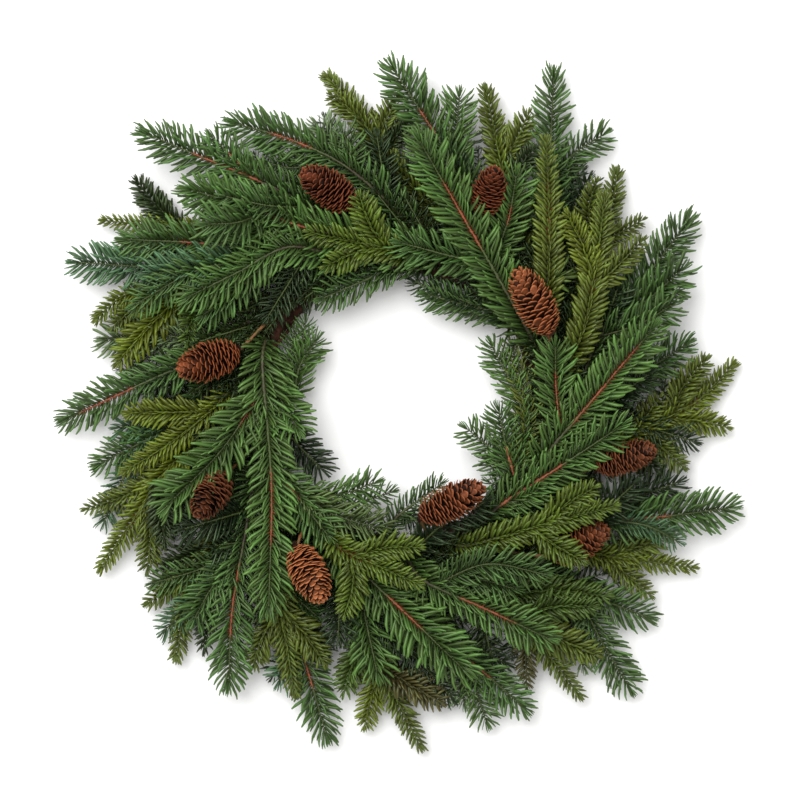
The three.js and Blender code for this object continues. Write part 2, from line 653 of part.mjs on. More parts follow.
for (const cone of CONES) {
  const base = new THREE.Vector3(...cone.base);
  const inside = base.clone().lerp(new THREE.Vector3(...cone.apex), STALK_DEPTH);
  const points = [...footPoints(cone.foot, base), base, inside];
  const path = new THREE.CatmullRomCurve3(points, false, "centripetal");
  const rows = Array.from({ length: STALK_STEPS + 1 }, (_, i) => {
    return { share: i / STALK_STEPS, radius: i < STALK_STEPS ? STALK_RADIUS : 0, turn: 0, tips: [] };
  });
  rods.push(...rodsAlong(cone.name, path, rows, () => STALK_RADIUS));
  const body = solid(coneBody(cone)).add(solid(stemGeometry(path, rows))).subtract(seat);
  add(cone.name, geometryOf(body), "#7d4326", 0.8);
}

const stemsByBranch = BRANCHES.map((one) => ({ ...one, stems: stemsOf(one) }));
for (const { name, kind, stems } of stemsByBranch) {
  const body = stems
    .map((stem) => solid(stemGeometry(stem.path, withNeedles(name, kind, stem))))
    .reduce((whole, stem) => whole.add(stem))
    .subtract(seat);
  add(name, geometryOf(body), kind.colour, 0.7);
}

export default wreath;
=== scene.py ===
# A fresh evergreen wreath lying on a table: a ring of twisted vines with a wire wound round it,
# nine pine cones on stalks, and branches of fir and of a short-needled spruce.

import math
import random
from bisect import bisect_right

import bmesh
import bpy
from mathutils import Matrix, Vector, noise
from mathutils.geometry import interpolate_bezier


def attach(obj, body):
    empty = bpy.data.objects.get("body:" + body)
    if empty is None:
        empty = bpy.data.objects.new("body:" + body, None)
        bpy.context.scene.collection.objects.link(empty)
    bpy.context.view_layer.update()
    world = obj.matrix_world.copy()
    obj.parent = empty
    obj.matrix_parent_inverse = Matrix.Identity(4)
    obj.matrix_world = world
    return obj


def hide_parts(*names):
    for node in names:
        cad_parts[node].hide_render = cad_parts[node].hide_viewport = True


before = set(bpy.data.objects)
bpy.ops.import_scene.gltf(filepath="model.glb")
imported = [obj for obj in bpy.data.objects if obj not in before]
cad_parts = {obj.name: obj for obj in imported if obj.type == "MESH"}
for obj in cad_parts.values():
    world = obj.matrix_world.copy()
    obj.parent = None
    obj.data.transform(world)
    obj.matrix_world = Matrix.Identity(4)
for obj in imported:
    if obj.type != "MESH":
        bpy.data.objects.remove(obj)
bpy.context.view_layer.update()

MM = 0.001

# ---- Camera, light and table ----
# The camera looks straight down on the wreath from far above, so that high and low branches keep
# their places. A broad soft light stands at the upper left, and the table is plain and pale.

PHOTO_WIDTH = 697 * MM  # what the photograph's width takes in, at the height of the branches
CAMERA_HEIGHT = 5.0
AIM = Vector((1.3 * MM, 2.6 * MM, 25 * MM))
LIGHT_PLACE = Vector((-1.0, 1.25, 3.0))
LIGHT_WIDTH = 2.8
LIGHT_POWER = 128
SKY = (0.98, 0.98, 0.96, 1)
SKY_STRENGTH = 0.74
TABLE_WIDTH = 8.0

scene = bpy.context.scene
scene.view_settings.view_transform = "Standard"


def placed(name, data):
    """An object for the data, linked to the scene."""
    made = bpy.data.objects.new(name, data)
    scene.collection.objects.link(made)
    return made


camera = placed("camera", bpy.data.cameras.new("camera"))
camera.data.lens = camera.data.sensor_width * (CAMERA_HEIGHT - AIM.z) / PHOTO_WIDTH
camera.location = (AIM.x, AIM.y, CAMERA_HEIGHT)
scene.camera = camera

window = placed("window_light", bpy.data.lights.new("window_light", "AREA"))
window.data.size = LIGHT_WIDTH
window.data.energy = LIGHT_POWER
window.location = LIGHT_PLACE
window.rotation_euler = (AIM - LIGHT_PLACE).to_track_quat("-Z", "Y").to_euler()

scene.world = bpy.data.worlds.new("room")
scene.world.use_nodes = True
sky = scene.world.node_tree.nodes["Background"]
sky.inputs["Color"].default_value = SKY
sky.inputs["Strength"].default_value = SKY_STRENGTH


def paint(red, green, blue):
    """A colour as it looks on a screen, 0 to 255, in the shader's own numbers."""
    return (*(((c / 255 + 0.055) / 1.055) ** 2.4 for c in (red, green, blue)), 1)


def new_material(name, roughness, specular=0.5):
    """A material with its node tree and its shader."""
    made = bpy.data.materials.new(name)
    made.use_nodes = True
    shader = made.node_tree.nodes["Principled BSDF"]
    shader.inputs["Roughness"].default_value = roughness
    shader.inputs["Specular IOR Level"].default_value = specular
    return made, made.node_tree, shader


def add_node(tree, kind, inputs, **settings):
    """A shader node. Each of its inputs gets a value, or a link from another node's output."""
    made = tree.nodes.new("ShaderNode" + kind)
    for key, value in settings.items():
        setattr(made, key, value)
    for key, value in inputs.items():
        if isinstance(value, bpy.types.NodeSocket):
            tree.links.new(value, made.inputs[key])
        else:
            made.inputs[key].default_value = value
    return made


def new_mesh(name, bm):
    """The mesh of a finished bmesh."""
    mesh = bpy.data.meshes.new(name)
    bm.to_mesh(mesh)
    bm.free()
    return mesh


def mesh_object(name, bm, *materials):
    """An object for a finished bmesh, smooth all over, with its material slots."""
    for face in bm.faces:
        face.smooth = True
    mesh = new_mesh(name, bm)
    for material in materials:
        mesh.materials.append(material)
    return placed(name, mesh)


table_top = bmesh.new()
bmesh.ops.create_grid(table_top, x_segments=1, y_segments=1, size=TABLE_WIDTH / 2)
table_paint, table_tree, table_shader = new_material("pale_table", 0.9, specular=0.1)
mottle = add_node(table_tree, "TexNoise", {"Scale": 3.0, "Detail": 2.0})
pale = add_node(table_tree, "Mix", {0: mottle.outputs["Fac"], 6: paint(248, 248, 248),
                                    7: paint(252, 252, 252)}, data_type="RGBA")
table_tree.links.new(pale.outputs[2], table_shader.inputs["Base Color"])
table = mesh_object("table", table_top, table_paint)

# ---- The vine ring ----
# Three vines as thick as a finger are twisted into a ring, with two thin ones wound round them.
# They are dark red-brown with rough bark, and pressed flat where the ring lies on the table.

RING_RADIUS = 128 * MM
VINE_RADIUS = 11.5 * MM  # mean radius of the bundle
STRAND_RELIEF = 1.8 * MM
BACK_CUT = 1 * MM
RING_HEIGHT = VINE_RADIUS + STRAND_RELIEF - BACK_CUT
STRANDS = 3
VINE_TWISTS = 4
RING_STEPS = 288
STRAND_SIDES = 18
STRAND_OFFSET = 6.5 * MM  # from the bundle's middle to a strand's
STRAND_THICKNESS = 6.4 * MM
THIN_VINES = [(-3, 0.6, 1.7 * MM), (-5, 3.4, 1.3 * MM)]  # twists, start and radius of each
BARK_DEPTH = 0.55 * MM
BARK_SCALE = 1.6
RIDGES_ALONG = 9  # how fast the bark's ridges change along a vine, and round it
RIDGES_ROUND = 2.4
KNOTS_ALONG = 3
KNOT_SIZE = 0.1
NEXT_BARK = 7.3  # how far apart the vines' patterns of bark are
NOISE_RANGE = (0.3, 0.7)  # where most values of a noise texture lie


def outward(around, section):
    """The direction away from the ring's centreline, at angles round the ring and its section."""
    flat = math.cos(section)
    return Vector((flat * math.cos(around), flat * math.sin(around), math.sin(section)))


def ring_point(around, section, distance):
    """A point at a distance from the ring's centreline, in that direction."""
    centre = Vector((RING_RADIUS * math.cos(around), RING_RADIUS * math.sin(around), RING_HEIGHT))
    return centre + outward(around, section) * distance


def hoop(sides, steps):
    """A plain ring of radius 2 and thickness 1, spun from a circle."""
    bm = bmesh.new()
    lying = Matrix.Translation((2, 0, 0)) @ Matrix.Rotation(math.pi / 2, 4, "X")
    circle = bmesh.ops.create_circle(bm, segments=sides, radius=1, matrix=lying)["verts"]
    around = circle + list({edge for v in circle for edge in v.link_edges})
    bmesh.ops.spin(bm, geom=around, cent=(0, 0, 0), axis=(0, 0, 1), angle=2 * math.pi,
                   steps=steps, use_merge=True)
    bmesh.ops.recalc_face_normals(bm, faces=bm.faces)
    return bm


def wound(sides, steps, centre_at, radius_at):
    """A hoop laid along a closed line. Its radius is worked out from the angles of a point."""
    bm = hoop(sides, steps)
    small = math.pi / steps
    for v in bm.verts:
        around = math.atan2(v.co.y, v.co.x)
        section = math.atan2(v.co.z, v.co.xy.length - 2)
        middle = centre_at(around)
        along = (centre_at(around + small) - centre_at(around - small)).normalized()
        away = outward(around, 0)
        away = (away - along * away.dot(along)).normalized()
        above = along.cross(away) * -1
        spoke = away * math.cos(section) + above * math.sin(section)
        v.co = middle + spoke * radius_at(around, section)
    return bm


def append(bm, piece):
    """Adds a small bmesh to a larger one."""
    loose = new_mesh("piece", piece)
    bm.from_mesh(loose)
    bpy.data.meshes.remove(loose)


def bark_radius(thickness, seed):
    """The radius of a vine with ridged, knotty bark, at the angles of a point on it."""
    def radius_at(around, section):
        ridge = Vector((RIDGES_ALONG * around, RIDGES_ROUND * math.cos(section),
                        RIDGES_ROUND * math.sin(section) + seed)) * BARK_SCALE
        knot = Vector((KNOTS_ALONG * around, seed, 0))
        return thickness * (1 + KNOT_SIZE * noise.noise(knot)) + BARK_DEPTH * noise.noise(ridge)
    return radius_at


def grain(tree, scale, detail, **more):
    """Noise that goes through a piece."""
    place = add_node(tree, "TexCoord", {}).outputs["Object"]
    inputs = {"Vector": place, "Scale": scale, "Detail": detail, **more}
    return add_node(tree, "TexNoise", inputs).outputs["Fac"]


def ramp(tree, value, dark, light, ends=(0, 1)):
    """A colour from dark to light, as the value goes from one end to the other."""
    made = add_node(tree, "ValToRGB", {"Fac": value})
    for element, place, colour in zip(made.color_ramp.elements, ends, (dark, light)):
        element.position = place
        element.color = colour
    return made.outputs["Color"]


def ranged(tree, value, low, high, of=(0, 1)):
    """A value brought from one range into another, and kept within it."""
    inputs = {"Value": value, "From Min": of[0], "From Max": of[1], "To Min": low, "To Max": high}
    return add_node(tree, "MapRange", inputs).outputs["Result"]


def give_colour(tree, shader, colour, value, **more):
    """Gives the shader a colour, which the value makes darker or lighter."""
    lit = add_node(tree, "HueSaturation", {"Color": colour, "Value": value, **more})
    tree.links.new(lit.outputs["Color"], shader.inputs["Base Color"])


def give_bump(tree, shader, height, strength, distance):
    """Makes the shader's surface uneven."""
    bump = add_node(tree, "Bump", {"Height": height, "Strength": strength, "Distance": distance})
    tree.links.new(bump.outputs["Normal"], shader.inputs["Normal"])


bark, bark_tree, bark_shader = new_material("vine_bark", 0.85, specular=0.2)
bark_grain = grain(bark_tree, 260, 5, Roughness=0.7)
bark_tint = ramp(bark_tree, bark_grain, paint(28, 15, 10), paint(98, 58, 40), ends=(0.36, 0.68))
bark_light = ranged(bark_tree, grain(bark_tree, 38, 2), 0.4, 1.0, NOISE_RANGE)
give_colour(bark_tree, bark_shader, bark_tint, bark_light)
give_bump(bark_tree, bark_shader, bark_grain, 0.6, 0.6 * MM)

vines = bmesh.new()
vine_lines = [(VINE_TWISTS, k * 2 * math.pi / STRANDS, STRAND_THICKNESS, STRAND_OFFSET)
              for k in range(STRANDS)]
vine_lines += [(twists, start, thickness, VINE_RADIUS + thickness)
               for twists, start, thickness in THIN_VINES]
for number, (twists, start, thickness, offset) in enumerate(vine_lines):
    def centre_at(around, twists=twists, start=start, offset=offset):
        return ring_point(around, start + twists * around, offset)
    strand = wound(STRAND_SIDES, RING_STEPS, centre_at, bark_radius(thickness, NEXT_BARK * number))
    for v in strand.verts:
        v.co.z = max(v.co.z, 0)
    append(vines, strand)
ring = mesh_object("vines", vines, bark)
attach(ring, "root")
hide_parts("vine_ring")

# ---- The binding wire ----
# A thin iron wire with dark green enamel goes round the ring in twelve turns and holds the feet
# of the branches. It runs in the valleys of the vines where the ring lies on the table.

WIRE_TURNS = STRANDS * VINE_TWISTS
WIRE_RADIUS = 0.5 * MM
WIRE_STAND_OFF = 1.1 * MM
WIRE_STEPS = 576
WIRE_SIDES = 8


def wire_point(around):
    """A point of the wire's line, which follows the vines' rise and fall."""
    section = WIRE_TURNS * around
    vine_height = STRAND_RELIEF * math.cos(STRANDS * (section - VINE_TWISTS * around))
    return ring_point(around, section, VINE_RADIUS + vine_height + WIRE_STAND_OFF)


enamel, enamel_tree, enamel_shader = new_material("green_enamel", 0.4)
enamel_wear = add_node(enamel_tree, "TexNoise", {"Scale": 300.0, "Detail": 2.0})
enamel_tint = ramp(enamel_tree, enamel_wear.outputs["Fac"], paint(34, 50, 32), paint(56, 74, 50))
enamel_tree.links.new(enamel_tint, enamel_shader.inputs["Base Color"])
turns = wound(WIRE_SIDES, WIRE_STEPS, wire_point, lambda around, section: WIRE_RADIUS)
wire = mesh_object("wire", turns, enamel)
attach(wire, "root")
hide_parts("binding_wire")

# ---- Stems ----
# A stem leaves the ring aslant between two turns of the wire, from a foot tucked into the vines.
# Young shoots are salmon red where they show, the oldest wood is brown, and the rest green.

WIRE_ROOM = 46  # degrees of the wire's winding kept free on each side of a foot
FOOT_DEPTH = 2 * MM
FOOT_SHARE = 0.3
SHORTEST_FOOT = 6 * MM
LONGEST_FOOT = 14 * MM
LOWEST_STEM = 5 * MM
CURVE_POINTS = 24  # of a stem's line, between two of the points that it goes through
AXIS_REACH = 0.02  # a stem's direction is taken this share of its length before and after
TWIG_SIDES = 7
TWIG_STEP = 2.5 * MM
FEWEST_ROWS = 6
TWIG_ROUGHNESS = 0.7
PEG_SCALE = 380  # of the needles' pegs along a stem, and round it
PEGS_ROUND = 2
PATCH_SCALE = 170  # of the green patches along a stem, and round it
PATCHES_ROUND = 0.8
PATCH_EDGE = 3.4  # how sharply they begin, and how green they get
PATCH_DEPTH = 0.85
GREENING = 3  # a third of the way to its tip, a stem is green
RED_FADE = 0.05  # how fast the red begins and ends
WOOD_SLOT = 1  # the stems' place among the materials, after the needles or the scales
BROWN = paint(54, 38, 26)
SALMON = paint(150, 72, 46)
SPROUT = paint(68, 82, 36)


class Stem:
    """A smooth line through points, with places on it given as shares of its length."""

    def __init__(self, points):
        ends = [2 * points[0] - points[1], *points, 2 * points[-1] - points[-2]]
        self.points = [points[0]]
        for before, a, b, after in zip(ends, ends[1:], ends[2:], ends[3:]):
            gaps = [(q - p).length ** 0.5 for p, q in ((before, a), (a, b), (b, after))]
            leaving = (a - before) / gaps[0] - (b - before) / (gaps[0] + gaps[1]) + (b - a) / gaps[1]
            coming = (b - a) / gaps[1] - (after - a) / (gaps[1] + gaps[2]) + (after - b) / gaps[2]
            reach = gaps[1] / 3
            handles = a + leaving * reach, b - coming * reach
            self.points += interpolate_bezier(a, *handles, b, CURVE_POINTS)[1:]
        self.lengths = [0]
        for p, q in zip(self.points, self.points[1:]):
            self.lengths.append(self.lengths[-1] + (q - p).length)
        self.length = self.lengths[-1]

    def at(self, share):
        """The point at a share of the length."""
        wanted = share * self.length
        i = min(max(bisect_right(self.lengths, wanted) - 1, 0), len(self.points) - 2)
        piece = self.lengths[i + 1] - self.lengths[i]
        return self.points[i].lerp(self.points[i + 1], (wanted - self.lengths[i]) / piece)

    def axes(self, share):
        """Directions along the stem, up as far as that can be, and to its left."""
        ahead = self.at(min(share + AXIS_REACH, 1))
        along = (ahead - self.at(max(share - AXIS_REACH, 0))).normalized()
        up = (Vector((0, 0, 1)) - along * along.z).normalized()
        return along, up, up.cross(along)


def foot_points(foot, following):
    """Where a stem starts in the vines, and where it is free of them."""
    around, section = foot
    phase = (WIRE_TURNS * around - section + 180) % 360 - 180
    if abs(phase) < WIRE_ROOM:
        around += (math.copysign(WIRE_ROOM, phase) - phase) / WIRE_TURNS
    around, section = math.radians(around), math.radians(section)
    start = ring_point(around, section, VINE_RADIUS - FOOT_DEPTH)
    reach = min(max((following - start).length * FOOT_SHARE, SHORTEST_FOOT), LONGEST_FOOT)
    way = ((following - start).normalized() + outward(around, section)).normalized()
    return [start, start + way * reach]


def bowed(start, tip, bow):
    """The middle of a stem that bows to its left."""
    left = Vector((start.y - tip.y, tip.x - start.x, 0)).normalized()
    return (start + tip) / 2 + left * bow


def lifted(points, height):
    """The points of a stem, raised or lowered, but clear of the table."""
    return [Vector((p.x, p.y, max(p.z + height, LOWEST_STEM))) for p in points]


def lift_of(node, tip):
    """How far the frame's own stem is raised or lowered there, to pass over or under others."""
    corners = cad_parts[node].data.vertices
    return min(corners, key=lambda v: (v.co.xy - tip.xy).length).co.z - tip.z


def new_growth():
    """An empty bmesh with what the materials read of a point: its tint, how far along its needle or
    scale it is, how near the rib, and the tone of the whole needle or scale."""
    bm = bmesh.new()
    tint = bm.verts.layers.float_color.new("tint")
    along, ridge, _ = [bm.verts.layers.float.new(name) for name in ("along", "ridge", "tone")]
    return bm, tint, along, ridge


def upright_rod(bm, sides, rows):
    """Makes a rod of radius 1 with its rows one unit apart. Returns the row of a vertex."""
    bmesh.ops.create_cone(bm, cap_ends=True, segments=sides, radius1=1, radius2=1, depth=rows - 1)
    edges = [e for e in bm.edges if e.verts[0].co.z * e.verts[1].co.z < 0]
    bmesh.ops.subdivide_edges(bm, edges=edges, cuts=rows - 2, use_grid_fill=True)
    return lambda v: round(v.co.z + (rows - 1) / 2)


def mixed(a, b, share):
    """A colour between two others."""
    return [p + (q - p) * share for p, q in zip(a, b)]


def add_twig(growth, stem, thick, thin, colour_at):
    """Adds a stem that tapers from its thick end to its thin one, rough with the needles' pegs."""
    bm, tint, _, _ = new_growth()
    rows = max(FEWEST_ROWS, round(stem.length / TWIG_STEP))
    row_of = upright_rod(bm, TWIG_SIDES, rows)
    for v in bm.verts:
        share = row_of(v) / (rows - 1)
        _, up, left = stem.axes(share)
        middle = stem.at(share)
        radius = thick + (thin - thick) * share
        radius *= 1 + TWIG_ROUGHNESS * noise.noise(middle * PEG_SCALE + v.co * PEGS_ROUND)
        patch = PATCH_EDGE * noise.noise(middle * PATCH_SCALE + v.co * PATCHES_ROUND)
        v[tint] = mixed(colour_at(share), SPROUT, min(max(patch, 0), PATCH_DEPTH))
        v.co = middle + (left * v.co.x + up * v.co.y) * radius
    for face in bm.faces:
        face.material_index = WOOD_SLOT
    append(growth, bm)


def wood_colours(begin, red=None):
    """The colour along a stem: brown up to where the needles begin, then turning green, and red
    along a stretch that is given in shares of the part with needles."""
    def colour_at(share):
        grown = (share - begin) / (1 - begin)
        plain = mixed(BROWN, SPROUT, min(max(grown * GREENING, 0), 1))
        inside = min(grown - red[0], red[1] - grown) / RED_FADE + 1 if red else 0
        return mixed(plain, SALMON, min(max(inside, 0), 1))
    return colour_at


def stored(tree, name, output="Fac"):
    """What the points of a mesh hold under a name."""
    return add_node(tree, "Attribute", {}, attribute_name=name).outputs[output]


wood, wood_tree, wood_shader = new_material("twig_wood", 0.6)
wood_grain = grain(wood_tree, 900, 3)
wood_light = ranged(wood_tree, wood_grain, 0.5, 1.3, NOISE_RANGE)
give_colour(wood_tree, wood_shader, stored(wood_tree, "tint", "Color"), wood_light)
give_bump(wood_tree, wood_shader, wood_grain, 0.4, 0.3 * MM)

# ---- Pine cones ----
# Nine cones of dry brown scales, which overlap in a spiral and lie loosely over each other. The
# scales' rims are paler, and their faces in the gaps are painted nearly black as painted shade.
# Each cone sits on a short stalk out of the ring.

SCALE_COUNT = 170
SCALE_LENGTH = 11 * MM
SCALE_WIDTH = 9.5 * MM
SCALE_THICKNESS = 0.7 * MM
SCALE_CELLS = 4
RIM_ROUNDING = 0.3
SCALE_CURL = 0.2
SCALE_CUPPING = 0.16
SCALE_CROWDING = 0.94  # below 1, the scales stand closer at the base than at the tip
GOLDEN_ANGLE = math.radians(137.5)
CONE_FULLNESS = 2.4
CONE_NARROWING = 0.22
BASE_LEAN = 74  # degrees of a scale from the cone's axis at its base, and how much less at its tip
LEAN_LOSS = 84
CLOSED_LEAN = 0.35  # the share of that on a closed cone, and what it gains as the cone opens
OPENING_LEAN = 0.75
LEAN_SPREAD = 0.12  # in radians, as the next is
TURN_SPREAD = 0.16
REACH_RANGE = (0.91, 1.06)  # how far out a scale's rim is, beside the cone's width there
SMALLEST_SCALE = 0.55
SIZE_RANGE = (0.94, 1.06)
FACE_TONES = (-1, 0.5)
TIP_TONE = 0.9  # how much paler the scales' faces are at the cone's tip, with less painted shade
CLOSED_TONE = 1.1  # and on a closed cone
WELL_OPEN = 0.7  # a cone as open as this has none of that
CORE_SHARE = 0.58  # radius of the cone's middle, beside that of its rims
CORE_LENGTH = 0.46  # half its length, beside the cone's
# The cone's middle is a near-black brown: painted shade deep inside the cone
CORE_SHADED_BROWN = paint(32, 18, 13)
STALK_RADIUS = 1.5 * MM
STALK_DEPTH = 0.2
STALK_BROWN = paint(126, 79, 43)

# Each cone: the middle of its base, its apex and its radius in millimetres, its foot in degrees
# round the ring and round its section, how open it is, and the paint of its scales' rims.
CONES = [
    ("cone_at_11", (-40, 172, 44), (-84, 202, 62), 16.5, (102, 62), 0.7, (126, 66, 40)),
    ("cone_at_12", (73, 164, 40), (84, 204, 66), 14.5, (58, 58), 0.5, (120, 62, 36)),
    ("cone_at_1", (131, 62, 60), (101, 117, 66), 17.5, (18, 70), 0.5, (172, 100, 60)),
    ("cone_at_3", (172, -55, 42), (224, -39, 50), 14.5, (328, 28), 0.7, (124, 70, 40)),
    ("cone_at_4", (134, -133, 42), (183, -108, 50), 15.5, (302, 42), 0.6, (130, 72, 40)),
    ("cone_at_5", (20, -98, 62), (75, -71, 66), 16.5, (281, 112), 0.7, (150, 84, 50)),
    ("cone_at_7", (-88, -126, 56), (-65, -172, 76), 16.5, (232, 96), 0.47, (188, 114, 70)),
    # The rims of cone_at_8 are painted darker, as painted shade from the fir that mostly covers it
    ("cone_at_8", (-152, -62, 44), (-174, -98, 72), 16, (200, 42), 0.95, (108, 60, 34)),
    ("cone_at_9", (-140, 45, 48), (-192, 27, 62), 17.5, (147, 74), 0.7, (148, 80, 44)),
]


def scale_mesh():
    """A cone scale that points along +X: a curved shield, thick at its rounded rim."""
    bm, _, along, _ = new_growth()
    bmesh.ops.create_grid(bm, x_segments=SCALE_CELLS, y_segments=SCALE_CELLS, size=1)
    for v in bm.verts:
        out, across = (v.co.x + 1) / 2, v.co.y
        v[along] = out
        fullness = 0.5 + 0.5 * math.sin(math.pi * (out * 0.62 + 0.1))  # most two thirds out
        v.co.x = SCALE_LENGTH * (out - RIM_ROUNDING * across ** 2 * out)
        v.co.y = SCALE_WIDTH / 2 * across * fullness
        v.co.z = SCALE_LENGTH * (SCALE_CURL * out ** 3 - SCALE_CUPPING * across ** 2 * out)
    bmesh.ops.solidify(bm, geom=bm.faces[:], thickness=SCALE_THICKNESS)
    return new_mesh("scale", bm)


def cone_width(share):
    """The width of a cone along its length, beside its radius: full, narrower at the tip."""
    roundness = max(1 - abs(2 * share - 1) ** CONE_FULLNESS, 0.02) ** 0.5
    return roundness * (1.06 - CONE_NARROWING * share)


def placing(at, heading, sideways, size):
    """The matrix that lays a piece made along +X at a point, with its width sideways."""
    across = (sideways - heading * sideways.dot(heading)).normalized()
    flat = heading.cross(across)
    turned = Matrix((heading, across, flat)).transposed().to_4x4()
    return Matrix.Translation(at) @ turned @ Matrix.Scale(size, 4)


class Stamp:
    """A small mesh that is put into a growth again and again, each time in another place."""

    def __init__(self, mesh):
        self.mesh = mesh
        self.rest = [0.0] * (3 * len(mesh.vertices))
        mesh.vertices.foreach_get("co", self.rest)

    def colour(self, tint, root):
        """Paints the mesh in a tint, and its root in another."""
        along = self.mesh.attributes["along"].data
        colours = [c for point in along for c in (tint if point.value else root)]
        self.mesh.attributes["tint"].data.foreach_set("color", colours)

    def put(self, growth, place, tone):
        """Adds the mesh to a growth, at a place and in a tone."""
        self.mesh.attributes["tone"].data.foreach_set("value", [tone] * len(self.mesh.vertices))
        self.mesh.transform(place)
        growth.from_mesh(self.mesh)
        self.mesh.vertices.foreach_set("co", self.rest)


def product(tree, a, b):
    """Two values multiplied."""
    return add_node(tree, "Math", {0: a, 1: b}, operation="MULTIPLY").outputs["Value"]


husk, husk_tree, husk_shader = new_material("cone_scales", 0.62, specular=0.2)
husk_tone = stored(husk_tree, "tone")
# Painted shade: the face of a scale, down in the gaps, is nearly black, on some lighter, and only its
# rim has the full colour
husk_face_shade = ranged(husk_tree, husk_tone, 0.05, 0.62)
husk_rim = ranged(husk_tree, husk_tone, 0.78, 1.12, of=(-1, 1))
husk_value = ranged(husk_tree, stored(husk_tree, "along"), husk_face_shade, husk_rim, of=(0.68, 1))
husk_grain = grain(husk_tree, 700, 4)
husk_light = product(husk_tree, husk_value, ranged(husk_tree, husk_grain, 0.75, 1.2, NOISE_RANGE))
give_colour(husk_tree, husk_shader, stored(husk_tree, "tint", "Color"), husk_light)
give_bump(husk_tree, husk_shader, husk_grain, 0.35, 0.3 * MM)

scale_stamp = Stamp(scale_mesh())
for name, base, apex, radius, foot, openness, rim_paint in CONES:
    draw = random.Random(name)
    base, apex, radius = Vector(base) * MM, Vector(apex) * MM, radius * MM
    axis = (apex - base).normalized()
    height = (apex - base).length
    sideways = axis.orthogonal().normalized()
    growth, *_ = new_growth()

    core, core_tint, _, _ = new_growth()
    bmesh.ops.create_uvsphere(core, u_segments=12, v_segments=8, radius=1)
    standing = axis.to_track_quat("Z", "Y").to_matrix()
    for v in core.verts:
        share = 0.5 + v.co.z * CORE_LENGTH
        spoke = standing @ Vector((v.co.x, v.co.y, 0))
        v[core_tint] = CORE_SHADED_BROWN
        v.co = base + axis * share * height + spoke * radius * CORE_SHARE
    append(growth, core)

    scale_stamp.colour(paint(*rim_paint), paint(*rim_paint))
    for k in range(SCALE_COUNT):
        share = ((k + 0.5) / SCALE_COUNT) ** SCALE_CROWDING
        spoke = Matrix.Rotation(k * GOLDEN_ANGLE, 3, axis) @ sideways
        reach = radius * cone_width(share)
        lean = math.radians(BASE_LEAN - LEAN_LOSS * share ** 2)
        lean = lean * (CLOSED_LEAN + OPENING_LEAN * openness) + draw.gauss(0, LEAN_SPREAD)
        heading = (axis * math.cos(lean) + spoke * math.sin(lean)).normalized()
        size = SMALLEST_SCALE + (1 - SMALLEST_SCALE) * math.sin(math.pi * min(share + 0.15, 1))
        size *= draw.uniform(*SIZE_RANGE)
        rim = base + axis * (share * height) + spoke * reach * draw.uniform(*REACH_RANGE)
        root = rim - heading * SCALE_LENGTH * size
        around = Matrix.Rotation(draw.gauss(0, TURN_SPREAD), 3, heading) @ spoke.cross(axis)
        tone = draw.uniform(*FACE_TONES) + TIP_TONE * share ** 3
        tone += CLOSED_TONE * max(0, WELL_OPEN - openness)
        scale_stamp.put(growth, placing(root, heading, around, size), min(tone, 1))

    stalk = Stem([*foot_points(foot, base), base, base.lerp(apex, STALK_DEPTH)])
    add_twig(growth, stalk, STALK_RADIUS, STALK_RADIUS, lambda share: STALK_BROWN)
    cone = mesh_object(name.replace("cone", "pine_cone"), growth, husk, wood)
    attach(cone, "root")
    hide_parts(name)

# ---- Needles ----
# A fir needle is flat, nearly three millimetres wide and blunt, a spruce needle shorter and more
# pointed. Both have a paler rib, partly painted sheen, are combed to the sides of their stem, and
# lean towards its tip.

NEEDLE_SIDES = 6
HIDDEN_SIDES = 4
MAIN_FOOT_RADIUS = 2.1 * MM
SIDE_SHOOT_RADIUS = 1.0 * MM
SHOOT_TIP_RADIUS = 0.55 * MM
MAIN_BEGIN = 0.03  # the share of a main stem or of a side stem that is bare at its foot
SIDE_BEGIN = 0.06
FEWEST_ROUNDS = 3
SIDE_SHIFT = 0.2  # needles on the left stand this share of a round ahead, on the right behind
PLACE_SPREAD = 0.1
LAST_PLACE = 0.995  # no needle of a round stands nearer to the tip
ROLL_SPREAD = 6  # degrees
NEEDLE_LEAN_SPREAD = 4
TWIST_SPREAD = 0.3
LENGTH_RANGE = (0.88, 1.06)
LOW_NEEDLE = 1.5 * MM  # no needle's end comes nearer to the table
LOW_ROW_TONE = -0.3  # the lowest row lies in the shade of the others
TIP_BEGIN = 0.88  # from here on the needles lean more and more to the tip
TUFT_COUNT = 7
TUFT_PLACE = 0.985
TUFT_LENGTH = 0.8
TUFT_LEANS = (10, 34)
HIDDEN_PITCH = 1.4  # needles of the undergrowth stand farther apart
SHADE_AND_AGE_SHARE = 0.65  # the needles up to here are darker: painted shade deep in the foliage near the foot, and partly the darker colour of older needles
SHADE_AND_AGE_DARKENING = 0.7
UNDER_SHARE = 0.57  # how far along a main stem its undergrowth goes
UNDER_STEP = 17 * MM
UNDER_PLACES = (0.3, 0.9)
UNDER_ANGLES = (30, 52)
UNDER_LENGTHS = (37 * MM, 56 * MM)
UNDER_SHORTENING = 0.35
UNDER_SINKING = (0.25, 0.6)
UNDER_BOW = 3 * MM
UNDER_WIDTHS = (0.55, 0.75)
UNDER_HEIGHT = 9 * MM
HOLE_RADIUS = 112 * MM  # no undergrowth comes nearer to the middle of the wreath
COLLAR_ANGLES = [(-24, -12), (0, 14), (28, 48)]  # out from the ring's own direction
COLLAR_LENGTHS = (48 * MM, 66 * MM)
COLLAR_HEIGHT = 32 * MM
COLLAR_RISE = (-4 * MM, 10 * MM)
COLLAR_WIDTH = 0.75

